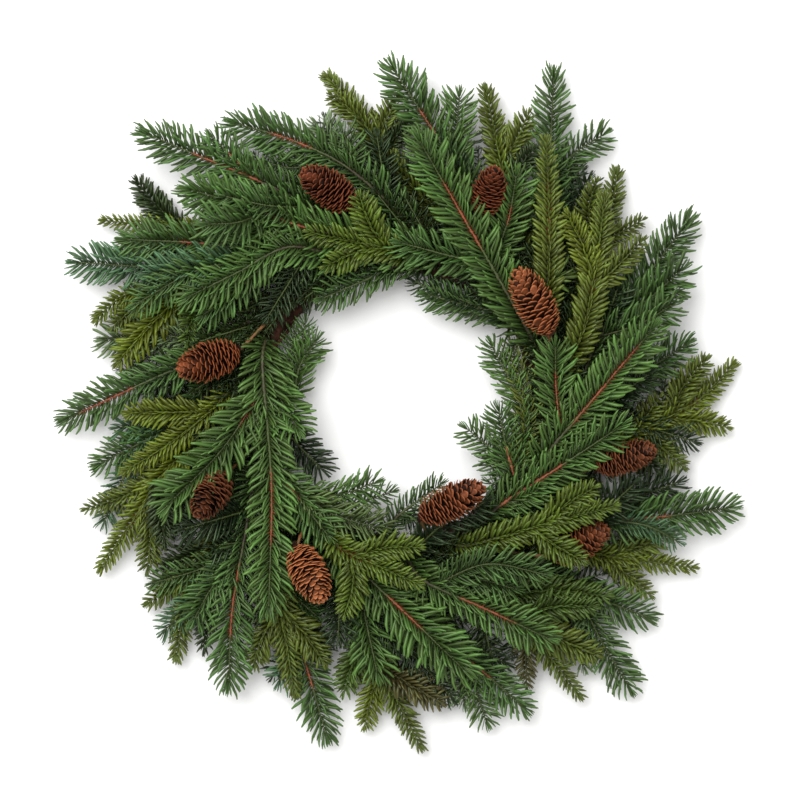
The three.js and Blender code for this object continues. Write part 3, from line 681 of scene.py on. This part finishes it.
# Each kind of needle: its size and outline, how it bends, and how far apart its rounds stand. The
# rows of a round have their degrees above the stem's side and from its direction, their share of
# the full length, and their place in the round. "reach" is the longest needle and "tuft" what the
# tuft adds to the stem, beside half the width of the spray. "swell" is how the length goes along
# the stem, and "tip_lean" how much of its lean a needle keeps at the tip.
FIR = {
    "length": 20 * MM, "width": 2.7 * MM, "thickness": 1.5 * MM, "reach": 1.2,
    "outline": [(0, 0.55), (0.2, 0.9), (0.8, 1.0), (1, 0.5)],
    "bends": [0.2, 0.29, 0.38, 0.47],
    "pitch": 4.75 * MM,
    "rows": [(-24, 70, 0.92, 0.1), (9, 74, 1.0, 0.0), (44, 62, 0.7, 0.4)],
    "swell": lambda t: min(1, 0.75 + 2 * t) * (1 - 0.36 * max(0, (t - 0.84) / 0.16) ** 1.5),
    "tip_lean": 0.5, "tuft": 0.55, "shaded_tint": "dark",
}
SPRUCE = {
    "length": 11 * MM, "width": 2.5 * MM, "thickness": 1.6 * MM, "reach": 1.36,
    "outline": [(0, 0.5), (0.25, 0.95), (0.66, 0.95), (1, 0.32)],
    "bends": [0.1, 0.17, 0.24],
    "pitch": 4.6 * MM,
    "rows": [(-20, 61, 0.92, 0.06), (8, 64, 1.0, 0.0), (42, 56, 0.74, 0.14), (80, 36, 0.5, 0.5)],
    "swell": lambda t: min(1, 0.75 + 1.2 * t) * (1 - 0.45 * max(0, (t - 0.42) / 0.58) ** 1.4),
    "tip_lean": 0.55, "tuft": 0.45, "shaded_tint": "shade",
}

# The "dark" and "shade" tints are shaded copies of the green and the olive: painted shade for the
# undergrowth and for sprays that lie low, under others.
TINTS = {
    "green": (57, 83, 38), "bright": (64, 91, 40), "blue": (59, 89, 60),
    "dark": (22, 36, 18), "pale": (83, 101, 64), "moss": (68, 83, 43),
    "lime": (84, 94, 22), "fresh": (72, 87, 24), "olive": (76, 86, 28), "leaf": (64, 83, 31),
    "shade": (31, 41, 18), "russet": (66, 60, 30),
}


def needle_mesh(kind, bend, sides, outline):
    """A needle that points along +X and curves towards +Y."""
    bm, _, along, ridge = new_growth()
    row_of = upright_rod(bm, sides, len(outline))
    for v in bm.verts:
        share, fullness = outline[row_of(v)]
        v[along] = share
        v[ridge] = abs(v.co.y)
        v.co = (kind["length"] * share,
                kind["width"] / 2 * fullness * v.co.x + kind["length"] * bend * share ** 2,
                kind["thickness"] / 2 * fullness * v.co.y)
    return new_mesh("needle", bm)


needles, needle_tree, needle_shader = new_material("evergreen_needles", 0.32)
needle_shader.inputs["Specular Tint"].default_value = (0.8, 1.0, 0.6, 1)
needle_tone = stored(needle_tree, "tone")
# Darker at its root, partly painted shade near the stem; lighter along its rib, partly painted sheen;
# and each needle a little different
needle_root = ranged(needle_tree, stored(needle_tree, "along"), 0.28, 1.36)
needle_rib_and_sheen = ranged(needle_tree, stored(needle_tree, "ridge"), 0.5, 1.4)
needle_own = ranged(needle_tree, needle_tone, 0.38, 1.3, of=(-1.7, 1))
needle_area = ranged(needle_tree, grain(needle_tree, 22, 1), 0.8, 1.12, NOISE_RANGE)
needle_form = product(needle_tree, needle_root, needle_rib_and_sheen)
needle_mood = product(needle_tree, needle_own, needle_area)
needle_hue = ranged(needle_tree, needle_tone, 0.488, 0.51, of=(-1, 1))
give_colour(needle_tree, needle_shader, stored(needle_tree, "tint", "Color"),
            product(needle_tree, needle_form, needle_mood), Hue=needle_hue)

for kind in (FIR, SPRUCE):
    outline = kind["outline"]
    kind["fine"] = [Stamp(needle_mesh(kind, bend, NEEDLE_SIDES, outline)) for bend in kind["bends"]]
    plainer = [outline[0], *outline[2:]]
    kind["plain"] = [Stamp(needle_mesh(kind, bend, HIDDEN_SIDES, plainer)) for bend in kind["bends"]]


def grow_needle(growth, kind, stamps, draw, stem, share, roll, side, lean, length, shade_and_age=0):
    """One needle, from the middle of the stem out."""
    along, up, left = stem.axes(share)
    lightest = 1 if roll > 0 else LOW_ROW_TONE
    roll = math.radians(roll + draw.gauss(0, ROLL_SPREAD))
    lean = math.radians(lean + draw.gauss(0, NEEDLE_LEAN_SPREAD))
    spoke = left * side * math.cos(roll) + up * math.sin(roll)
    heading = (along * math.cos(lean) + spoke * math.sin(lean)).normalized()
    root = stem.at(share)
    length *= draw.uniform(*LENGTH_RANGE)
    twisted = Matrix.Rotation(draw.gauss(0, TWIST_SPREAD), 3, heading) @ along
    if root.z + heading.z * length < LOW_NEEDLE:
        heading.z = (LOW_NEEDLE - root.z) / length
        heading.normalize()
        twisted.z = 0
    stamp = draw.choice(stamps)
    place = placing(root, heading, twisted, length / kind["length"])
    stamp.put(growth, place, draw.uniform(-1, lightest) - SHADE_AND_AGE_DARKENING * shade_and_age)


def grow_spray(growth, kind, stamps, draw, stem, begin, half_width, colour, colour_at):
    """The needles of one stem, in rounds from where they begin to the tip, and a tuft there. Their
    roots have the colour of the stem."""
    tint = paint(*TINTS[colour])
    longest = half_width * kind["reach"]
    pitch = kind["pitch"] * (HIDDEN_PITCH if stamps is kind["plain"] else 1)
    rounds = max(FEWEST_ROUNDS, round((1 - begin) * stem.length / pitch))
    for k in range(rounds):
        root_colour = colour_at(begin + (1 - begin) * k / rounds)
        for stamp in stamps:
            stamp.colour(tint, root_colour)
        for roll, lean, part, offset in kind["rows"]:
            t = (k + offset) / rounds
            near_tip = max(0, (t - TIP_BEGIN) / (1 - TIP_BEGIN))
            leaning = lean * (1 - (1 - kind["tip_lean"]) * near_tip)
            length = longest * part * kind["swell"](t)
            # Painted shade deep in the foliage towards the foot, partly the darker colour of older
            # needles
            shade_and_age = max(0, 1 - t / SHADE_AND_AGE_SHARE)
            for side in (-1, 1):
                shift = (draw.uniform(-PLACE_SPREAD, PLACE_SPREAD) + side * SIDE_SHIFT) / rounds
                share = begin + (1 - begin) * min(max(t + shift, 0), LAST_PLACE)
                grow_needle(growth, kind, stamps, draw, stem, share, roll, side, leaning, length, shade_and_age)
    length = longest * kind["swell"](1) * TUFT_LENGTH
    for k in range(TUFT_COUNT):
        roll = 360 * k / TUFT_COUNT
        lean = draw.uniform(*TUFT_LEANS)
        grow_needle(growth, kind, stamps, draw, stem, TUFT_PLACE, roll, 1, lean, length)


def grow_shoot(growth, kind, stamps, draw, stem, half_width, colour, red=None):
    """A side stem with its needles."""
    colour_at = wood_colours(0, red)
    add_twig(growth, stem, SIDE_SHOOT_RADIUS, SHOOT_TIP_RADIUS, colour_at)
    grow_spray(growth, kind, stamps, draw, stem, SIDE_BEGIN, half_width, colour, colour_at)


def grow_hidden(growth, kind, draw, twig, half_width):
    """A twig that other foliage mostly covers, with plainer needles in a darker tint that paints the
    shade it lies in.
    """
    grow_shoot(growth, kind, kind["plain"], draw, twig, half_width * kind["length"],
               kind["shaded_tint"])


def grow_undergrowth(growth, kind, draw, stem):
    """Short twigs below a branch, to its right and left in turn, that close the gaps beside it. One
    that would reach into the wreath's hole goes to the other side, or is left out."""
    count = round(stem.length * UNDER_SHARE / UNDER_STEP)
    for k in range(count):
        share = (k + draw.uniform(*UNDER_PLACES)) / count * UNDER_SHARE
        along, _, left = stem.axes(share)
        fork = stem.at(share)
        angle = math.radians(draw.uniform(*UNDER_ANGLES))
        length = draw.uniform(*UNDER_LENGTHS) * (1 - UNDER_SHORTENING * share)
        for side in ((1, -1) if k % 2 else (-1, 1)):
            tip = fork + (along * math.cos(angle) + left * side * math.sin(angle)) * length
            if tip.xy.length > HOLE_RADIUS:
                break
        else:
            continue
        tip.z = max(fork.z * draw.uniform(*UNDER_SINKING), UNDER_HEIGHT)
        twig = Stem([fork, bowed(fork, tip, draw.uniform(-UNDER_BOW, UNDER_BOW)), tip])
        grow_hidden(growth, kind, draw, twig, draw.uniform(*UNDER_WIDTHS))


def grow_collar(growth, kind, draw, foot):
    """Three short twigs that leave the ring beside a branch's foot and lie over the vines."""
    away = Vector((foot.x, foot.y, 0)).normalized()
    onward = Vector((-away.y, away.x, 0))
    for angles in COLLAR_ANGLES:
        angle = math.radians(draw.uniform(*angles))
        way = onward * math.cos(angle) + away * math.sin(angle)
        tip = foot + way * draw.uniform(*COLLAR_LENGTHS)
        tip.z = COLLAR_HEIGHT + draw.uniform(*COLLAR_RISE)
        middle = (foot + tip) / 2
        middle.z = max(middle.z, COLLAR_HEIGHT)
        grow_hidden(growth, kind, draw, Stem([foot, middle, tip]), COLLAR_WIDTH)


def short_of(tip, start, reach):
    """Where a stem ends, so that the needles of its tuft reach the tip."""
    return tip + (start - tip).normalized() * reach


def grow_branch(name, foot, sprays, kind):
    """A branch with its side stems and all their needles, in place of the frame's plain one."""
    draw = random.Random(name)
    growth, *_ = new_growth()
    root, tip, bow, half_width, colour, *red = sprays[0]
    root, tip = Vector(root) * MM, Vector(tip) * MM
    height = lift_of(name, tip)
    tip = short_of(tip, root, half_width * MM * kind["tuft"])
    free = lifted([root, bowed(root, tip, bow * MM), tip], height)
    main = Stem([*foot_points(foot, root), *free])
    begin = 1 - (tip - root).length / main.length
    colour_at = wood_colours(begin, *red)
    add_twig(growth, main, MAIN_FOOT_RADIUS, SHOOT_TIP_RADIUS, colour_at)
    grow_spray(growth, kind, kind["fine"], draw, main, MAIN_BEGIN, half_width * MM, colour,
               colour_at)
    for fork_share, tip, bow, half_width, colour, *red in sprays[1:]:
        tip = Vector(tip) * MM
        fork = main.at(begin + (1 - begin) * fork_share)
        height = lift_of(name, tip)
        tip = short_of(tip, fork, half_width * MM * kind["tuft"])
        side = Stem([fork, *lifted([bowed(fork, tip, bow * MM), tip], height)])
        grow_shoot(growth, kind, kind["fine"], draw, side, half_width * MM, colour, *red)
    if "inside" not in name:
        grow_undergrowth(growth, kind, draw, main)
        grow_collar(growth, kind, draw, main.at(0))
    for v in growth.verts:
        v.co.z = max(v.co.z, 0)
    branch = mesh_object(name + "_branch", growth, needles, wood)
    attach(branch, "root")
    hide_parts(name)

# ---- Fir branches ----
# Long flat green needles on thirty-one branches, some of them blue-green. The largest lie on top
# and show the red of their stems. The feet are tucked under the wire all round the ring.

# Each branch: its foot in degrees round the ring and round its section, then its sprays in
# millimetres: where the needles begin (or the share of the main stem where a side stem forks),
# the tip, how far it bows to its left, half its width, its tint, and the stretch that is red.
FIR_BRANCHES = [
    ("fir_at_10_middle", (98, 35), [
        ((-122, 193, 42), (-231, 239, 34), 0, 20, "green", (0.0, 0.55)),
        (0.02, (-168, 237, 36), 0, 16, "green", (0.2, 0.6)),
        (-0.5, (-160, 180, 34), 4, 18, "green"),
        (-0.3, (-188, 172, 26), 0, 16, "green"),
    ]),
    ("fir_at_11_middle", (82, 30), [
        ((-42, 203, 34), (-154, 248, 28), -5, 20, "green", (0.37, 0.67)),
        (0.25, (-122, 207, 30), 8, 16, "green"),
        (0.1, (-75, 250, 14), -3, 18, "pale"),
        (0.0, (-50, 244, 14), -3, 16, "green"),
        (-0.4, (-20, 240, 16), 0, 15, "dark"),
    ]),
    ("fir_at_10_front", (74, 78), [
        ((-81, 152, 50), (-194, 189, 58), -2, 22, "bright", (0.0, 0.34)),
        (0.3, (-142, 125, 54), 3, 19, "bright"),
        (0.35, (-176, 152, 44), 4, 20, "green"),
    ]),
    ("fir_at_10_outer", (112, 45), [
        ((-86, 123, 38), (-249, 144, 30), -5, 20, "green", (0.32, 0.65)),
        (0.3, (-291, 122, 22), 8, 19, "blue"),
        (0.2, (-238, 82, 14), -8, 17, "green"),
        (0.15, (-228, 110, 16), 0, 18, "blue"),
    ]),
    ("fir_at_10_inner", (107, 88), [
        ((-95, 135, 52), (-194, 86, 50), 0, 19, "bright"),
        (0.1, (-177, 70, 40), 3, 17, "green"),
        (-0.2, (-118, 68, 44), 0, 15, "dark"),
    ]),
    ("fir_at_12_back", (50, 30), [
        ((49, 207, 34), (-12, 303, 28), 0, 21, "green", (0.36, 0.53)),
        (0.02, (54, 277, 22), 0, 17, "bright"),
        (-0.3, (28, 235, 24), 0, 16, "dark"),
        (-0.6, (5, 227, 18), 0, 16, "dark"),
    ]),
    ("fir_at_12_front", (22, 84), [
        ((104, 78, 46), (11, 239, 70), 0, 21, "bright", (0.40, 0.72)),
    ]),
    ("fir_at_1_back", (12, -5), [
        ((131, 186, 20), (136, 298, 16), 0, 18, "green"),
        (0.02, (186, 241, 15), 6, 16, "green"),
        (-0.3, (157, 215, 18), 3, 14, "dark"),
        (-0.5, (170, 203, 18), 0, 15, "dark"),
    ]),
    ("fir_at_12_inner", (37, 88), [
        ((84, 117, 42), (-9, 142, 50), 0, 19, "green"),
        (0.05, (105, 208, 52), -4, 19, "bright", (0.5, 0.62)),
    ]),
    ("fir_at_2_back", (352, 18), [
        ((172, 52, 28), (260, 168, 18), 0, 19, "green"),
        (0.15, (255, 122, 32), -3, 21, "green"),
        (0.08, (193, 108, 38), 0, 17, "dark"),
        (0.05, (248, 90, 22), -4, 19, "green"),
    ]),
    ("fir_at_3_front", (335, 78), [
        ((128, -45, 44), (228, 74, 66), 0, 21, "bright", (0.26, 0.83)),
        (0.15, (135, 60, 58), 2, 19, "bright", (0.0, 0.67)),
    ]),
    ("fir_at_3_back", (346, 0), [
        ((200, 18, 22), (260, 57, 18), 0, 18, "green"),
        (-0.6, (266, -36, 16), 0, 14, "dark"),
        (-0.5, (225, 30, 20), 0, 16, "dark"),
    ]),
    ("fir_at_4_outer", (317, 22), [
        ((168, -103, 26), (302, -90, 20), -2, 20, "green", (0.22, 0.52)),
        (0.05, (252, -65, 18), 3, 18, "dark"),
        (0.0, (212, -64, 20), 0, 18, "dark"),
        (0.15, (250, -123, 13), 5, 12, "blue"),
    ]),
    ("fir_at_4_front", (306, 88), [
        ((86, -91, 40), (203, -13, 62), 0, 19, "bright", (0.05, 0.51)),
        (0.05, (129, -72, 52), -3, 16, "bright"),
    ]),
    ("fir_at_5_back", (297, 8), [
        ((134, -155, 20), (228, -191, 14), 0, 18, "green", (0.08, 0.39)),
        (0.25, (206, -257, 14), -2, 18, "green"),
        (0.1, (164, -238, 12), 0, 13, "pale"),
        (-0.3, (165, -200, 14), 0, 16, "dark"),
    ]),
    ("fir_at_5_front", (272, 78), [
        ((19, -152, 44), (140, -209, 48), 0, 19, "bright", (0.34, 0.70)),
        (0.15, (110, -161, 52), 8, 17, "green"),
        (0.1, (135, -147, 42), 14, 16, "green"),
        (-0.2, (84, -80, 30), 6, 16, "dark"),
    ]),
    ("fir_at_5_outer", (266, 5), [
        ((46, -210, 24), (118, -273, 20), 0, 18, "green", (0.31, 0.49)),
        (0.2, (79, -286, 14), 0, 15, "bright"),
        (0.1, (58, -270, 12), 0, 14, "pale"),
        (0.05, (102, -230, 22), 4, 17, "dark"),
    ]),
    ("fir_at_6_front", (244, 90), [
        ((-49, -129, 42), (67, -241, 54), 0, 24, "bright", (0.40, 0.62)),
    ]),
    ("fir_at_6_middle", (249, 25), [
        ((-35, -160, 32), (-16, -246, 34), 0, 20, "bright"),
        (0.35, (53, -263, 14), 4, 16, "dark"),
        (0.25, (36, -231, 22), 0, 15, "dark"),
        (-0.4, (-53, -214, 20), 0, 16, "dark"),
    ]),
    ("fir_at_7_back", (227, 8), [
        ((-90, -195, 20), (-60, -301, 15), 0, 19, "green", (0.30, 0.53)),
        (0.15, (-108, -250, 16), 0, 15, "blue"),
        (-0.3, (-66, -190, 26), 0, 13, "green"),
        (0.05, (-58, -222, 22), 3, 13, "dark"),
    ]),
    ("fir_at_7_middle", (206, 58), [
        ((-134, -118, 36), (-149, -256, 30), -4, 20, "green", (0.21, 0.64)),
        (0.12, (-184, -196, 32), -4, 18, "green"),
        (0.12, (-211, -205, 18), 0, 15, "blue"),
        (0.02, (-169, -125, 42), 0, 17, "dark"),
        (0.05, (-221, -160, 20), 4, 14, "green"),
        (-0.2, (-196, -112, 24), 0, 18, "dark"),
    ]),
    ("fir_at_8_front", (156, 88), [
        ((-118, 40, 46), (-112, -191, 62), 5, 21, "bright", (0.48, 0.71)),
        (0.12, (-208, -98, 58), 6, 23, "bright", (0.12, 0.25)),
        (-0.1, (-84, -32, 56), -6, 20, "bright", (0.2, 0.5)),
    ]),
    ("fir_at_9_outer", (151, 28), [
        ((-172, 41, 28), (-300, -19, 22), 0, 19, "green", (0.53, 0.86)),
        (0.05, (-224, 8, 24), 0, 14, "dark"),
        (-0.1, (-267, 56, 14), -8, 18, "pale"),
    ]),
    ("fir_at_8_back", (164, 0), [
        ((-188, -16, 18), (-271, -58, 14), 0, 18, "green"),
        (0.0, (-252, -22, 16), 0, 16, "blue"),
        (0.3, (-262, -112, 14), -6, 13, "blue"),
        (-0.2, (-215, -92, 18), 0, 18, "dark"),
        (-0.4, (-196, -118, 22), 0, 17, "dark"),
    ]),
    ("fir_inside_11", (78, 135), [
        ((2, 120, 32), (-75, 87, 38), 0, 16, "green"),
    ]),
    ("fir_inside_1", (33, 150), [
        ((90, 76, 26), (16, 97, 32), 0, 16, "green"),
        (0.0, (7, 109, 20), 0, 13, "dark"),
    ]),
    ("fir_inside_9", (176, 160), [
        ((-94, 6, 22), (-67, 63, 24), 4, 16, "bright"),
        (0.4, (-80, 78, 18), 0, 11, "bright"),
        (0.0, (-90, 70, 20), 4, 13, "green"),
    ]),
    ("fir_inside_8", (188, 175), [
        ((-100, -24, 16), (-60, -65, 18), 0, 17, "dark"),
    ]),
    ("fir_inside_7", (204, 118), [
        ((-106, -58, 36), (-54, -124, 44), 0, 20, "green", (0.2, 0.42)),
        (0.3, (-11, -68, 32), -8, 15, "bright"),
        (0.36, (2, -77, 24), -10, 11, "bright"),
        (0.25, (-6, -113, 48), -6, 17, "moss"),
    ]),
    ("fir_inside_4", (318, 112), [
        ((101, -74, 36), (85, 3, 40), 0, 16, "green", (0.09, 0.51)),
        (0.3, (53, -17, 28), 0, 15, "bright"),
        (0.1, (79, 60, 24), -16, 16, "bright"),
        (0.1, (70, -44, 26), 0, 13, "green"),
        (-0.1, (73, -66, 30), 0, 13, "green"),
        (0.1, (98, 60, 14), -14, 14, "olive"),
    ]),
    ("fir_inside_6", (264, 150), [
        ((0, -98, 26), (43, -66, 32), 0, 13, "green"),
        (0.1, (30, -112, 34), 0, 12, "dark"),
    ]),
]
for name, foot, sprays in FIR_BRANCHES:
    grow_branch(name, foot, sprays, FIR)

# ---- Spruce branches ----
# Short olive needles in close, even rows that taper to a point, on eighteen branches. Those on
# top are a bright yellow-green, those at the back darker, partly as painted shade.

SPRUCE_BRANCHES = [
    ("spruce_at_10_back", (124, -10), [
        ((-185, 152, 14), (-264, 160, 12), 0, 11, "lime"),
        (0.05, (-232, 198, 14), 3, 13, "shade"),
        (0.0, (-250, 130, 14), 0, 11, "lime"),
    ]),
    ("spruce_at_9_back", (143, 0), [
        ((-205, 98, 20), (-270, 71, 16), -9, 13, "lime"),
        (0.1, (-253, 63, 18), 0, 12, "olive"),
        (-0.35, (-249, 31, 22), -2, 16, "lime"),
        (-0.6, (-184, 62, 50), 0, 12, "leaf"),
        (-0.5, (-184, 48, 48), 0, 12, "leaf"),
    ]),
    ("spruce_at_11_back", (62, -5), [
        ((-12, 215, 15), (-66, 291, 12), -3, 15, "olive"),
        (0.4, (-62, 272, 18), 0, 11, "olive"),
        (0.1, (0, 269, 14), 3, 13, "olive"),
        (0.05, (16, 254, 18), 0, 12, "shade"),
    ]),
    ("spruce_at_1_back", (37, 0), [
        ((90, 205, 20), (75, 281, 16), 0, 15, "olive"),
        (0.05, (116, 257, 18), -2, 12.5, "olive"),
        (-0.2, (121, 225, 24), 0, 12, "shade"),
    ]),
    ("spruce_at_12_front", (86, 90), [
        ((1, 131, 42), (-83, 149, 66), 0, 13, "fresh"),
        (0.15, (-36, 183, 64), 3, 14, "fresh"),
        (0.15, (-68, 117, 60), -4, 13, "fresh"),
    ]),
    ("spruce_at_1_front", (26, 58), [
        ((129, 92, 46), (128, 234, 54), -2, 13, "olive", (0.38, 0.72)),
        (0.1, (142, 126, 44), -6, 14, "leaf"),
    ]),
    ("spruce_at_2_front", (8, 50), [
        ((160, 62, 44), (180, 186, 46), -2, 14, "olive", (0.3, 0.6)),
        (0.35, (145, 169, 48), -3, 13, "lime"),
        (0.3, (216, 145, 40), 0, 12, "olive"),
    ]),
    ("spruce_at_2_back", (3, 5), [
        ((175, 138, 22), (193, 209, 16), -2, 14.5, "olive"),
        (0.0, (217, 162, 15), 0, 10, "olive"),
        (0.0, (172, 197, 32), 8, 11, "olive"),
    ]),
    ("spruce_at_3_back", (338, 0), [
        ((233, -14, 18), (298, 38, 14), -5, 13.5, "lime", (0.1, 0.4)),
        (0.05, (271, 42, 22), 4, 13, "olive"),
        (0.0, (292, -22, 14), 2, 12, "lime"),
        (-0.4, (230, 9, 26), 0, 11, "olive"),
        (-0.3, (252, -59, 16), 0, 12, "olive"),
        (-0.5, (228, -62, 14), 0, 14, "shade"),
    ]),
    ("spruce_at_4_front", (290, 82), [
        ((58, -124, 40), (193, -87, 72), 0, 13, "fresh"),
        (0.5, (173, -70, 70), 2, 13, "fresh"),
        (0.45, (163, -139, 66), -2, 13, "fresh"),
    ]),
    ("spruce_at_4_back", (310, 2), [
        ((180, -133, 18), (264, -145, 14), 0, 11.5, "lime"),
        (0.05, (241, -114, 18), 0, 13, "olive"),
        (0.0, (223, -171, 16), 0, 11, "olive"),
    ]),
    ("spruce_at_5_back", (286, 28), [
        ((110, -192, 26), (162, -261, 16), 0, 13, "olive"),
        (-0.1, (175, -176, 32), 4, 14, "leaf"),
        (0.05, (178, -222, 24), 0, 15, "olive"),
        (0.0, (112, -252, 14), 0, 10, "russet"),
        (-0.5, (188, -168, 34), 4, 14, "leaf"),
    ]),
    ("spruce_at_6_front", (238, 102), [
        ((-50, -126, 54), (23, -159, 74), 0, 13, "fresh", (0.0, 0.4)),
        (0.2, (23, -124, 72), 4, 13, "fresh"),
        (0.15, (-47, -187, 68), 4, 13, "fresh"),
    ]),
    ("spruce_at_6_back", (254, -5), [
        ((-20, -222, 18), (22, -306, 14), 0, 14, "olive"),
        (0.1, (-31, -287, 14), 0, 12, "lime"),
        (-0.2, (-50, -257, 18), -3, 13.5, "leaf"),
        (0.1, (42, -264, 16), 0, 14, "russet"),
    ]),
    ("spruce_at_7_middle", (221, 42), [
        ((-103, -176, 32), (-90, -259, 22), 0, 14, "olive"),
        (0.05, (-62, -230, 28), 3, 14, "olive"),
        (0.02, (-129, -234, 24), -3, 13, "olive"),
        (0.0, (-138, -187, 30), 0, 12, "shade"),
    ]),
    ("spruce_at_8_front", (173, 45), [
        ((-162, -6, 36), (-244, -63, 30), 3, 12, "lime"),
        (0.02, (-241, -9, 34), 0, 13, "lime"),
    ]),
    ("spruce_at_8_outer", (181, 8), [
        ((-200, -56, 24), (-264, -150, 16), 0, 14, "lime", (0.2, 0.55)),
        (0.08, (-278, -94, 15), 4, 11, "olive"),
        (0.1, (-203, -128, 20), 0, 14, "shade"),
        (0.3, (-219, -151, 22), 3, 13, "olive"),
    ]),
    ("spruce_at_7_back", (193, 5), [
        ((-158, -118, 22), (-196, -229, 14), -8, 14, "olive"),
        (0.15, (-223, -178, 16), 0, 13, "olive"),
        (0.3, (-170, -221, 14), 4, 11, "shade"),
        (0.05, (-212, -146, 20), 0, 13, "shade"),
    ]),
]
for name, foot, sprays in SPRUCE_BRANCHES:
    grow_branch(name, foot, sprays, SPRUCE)
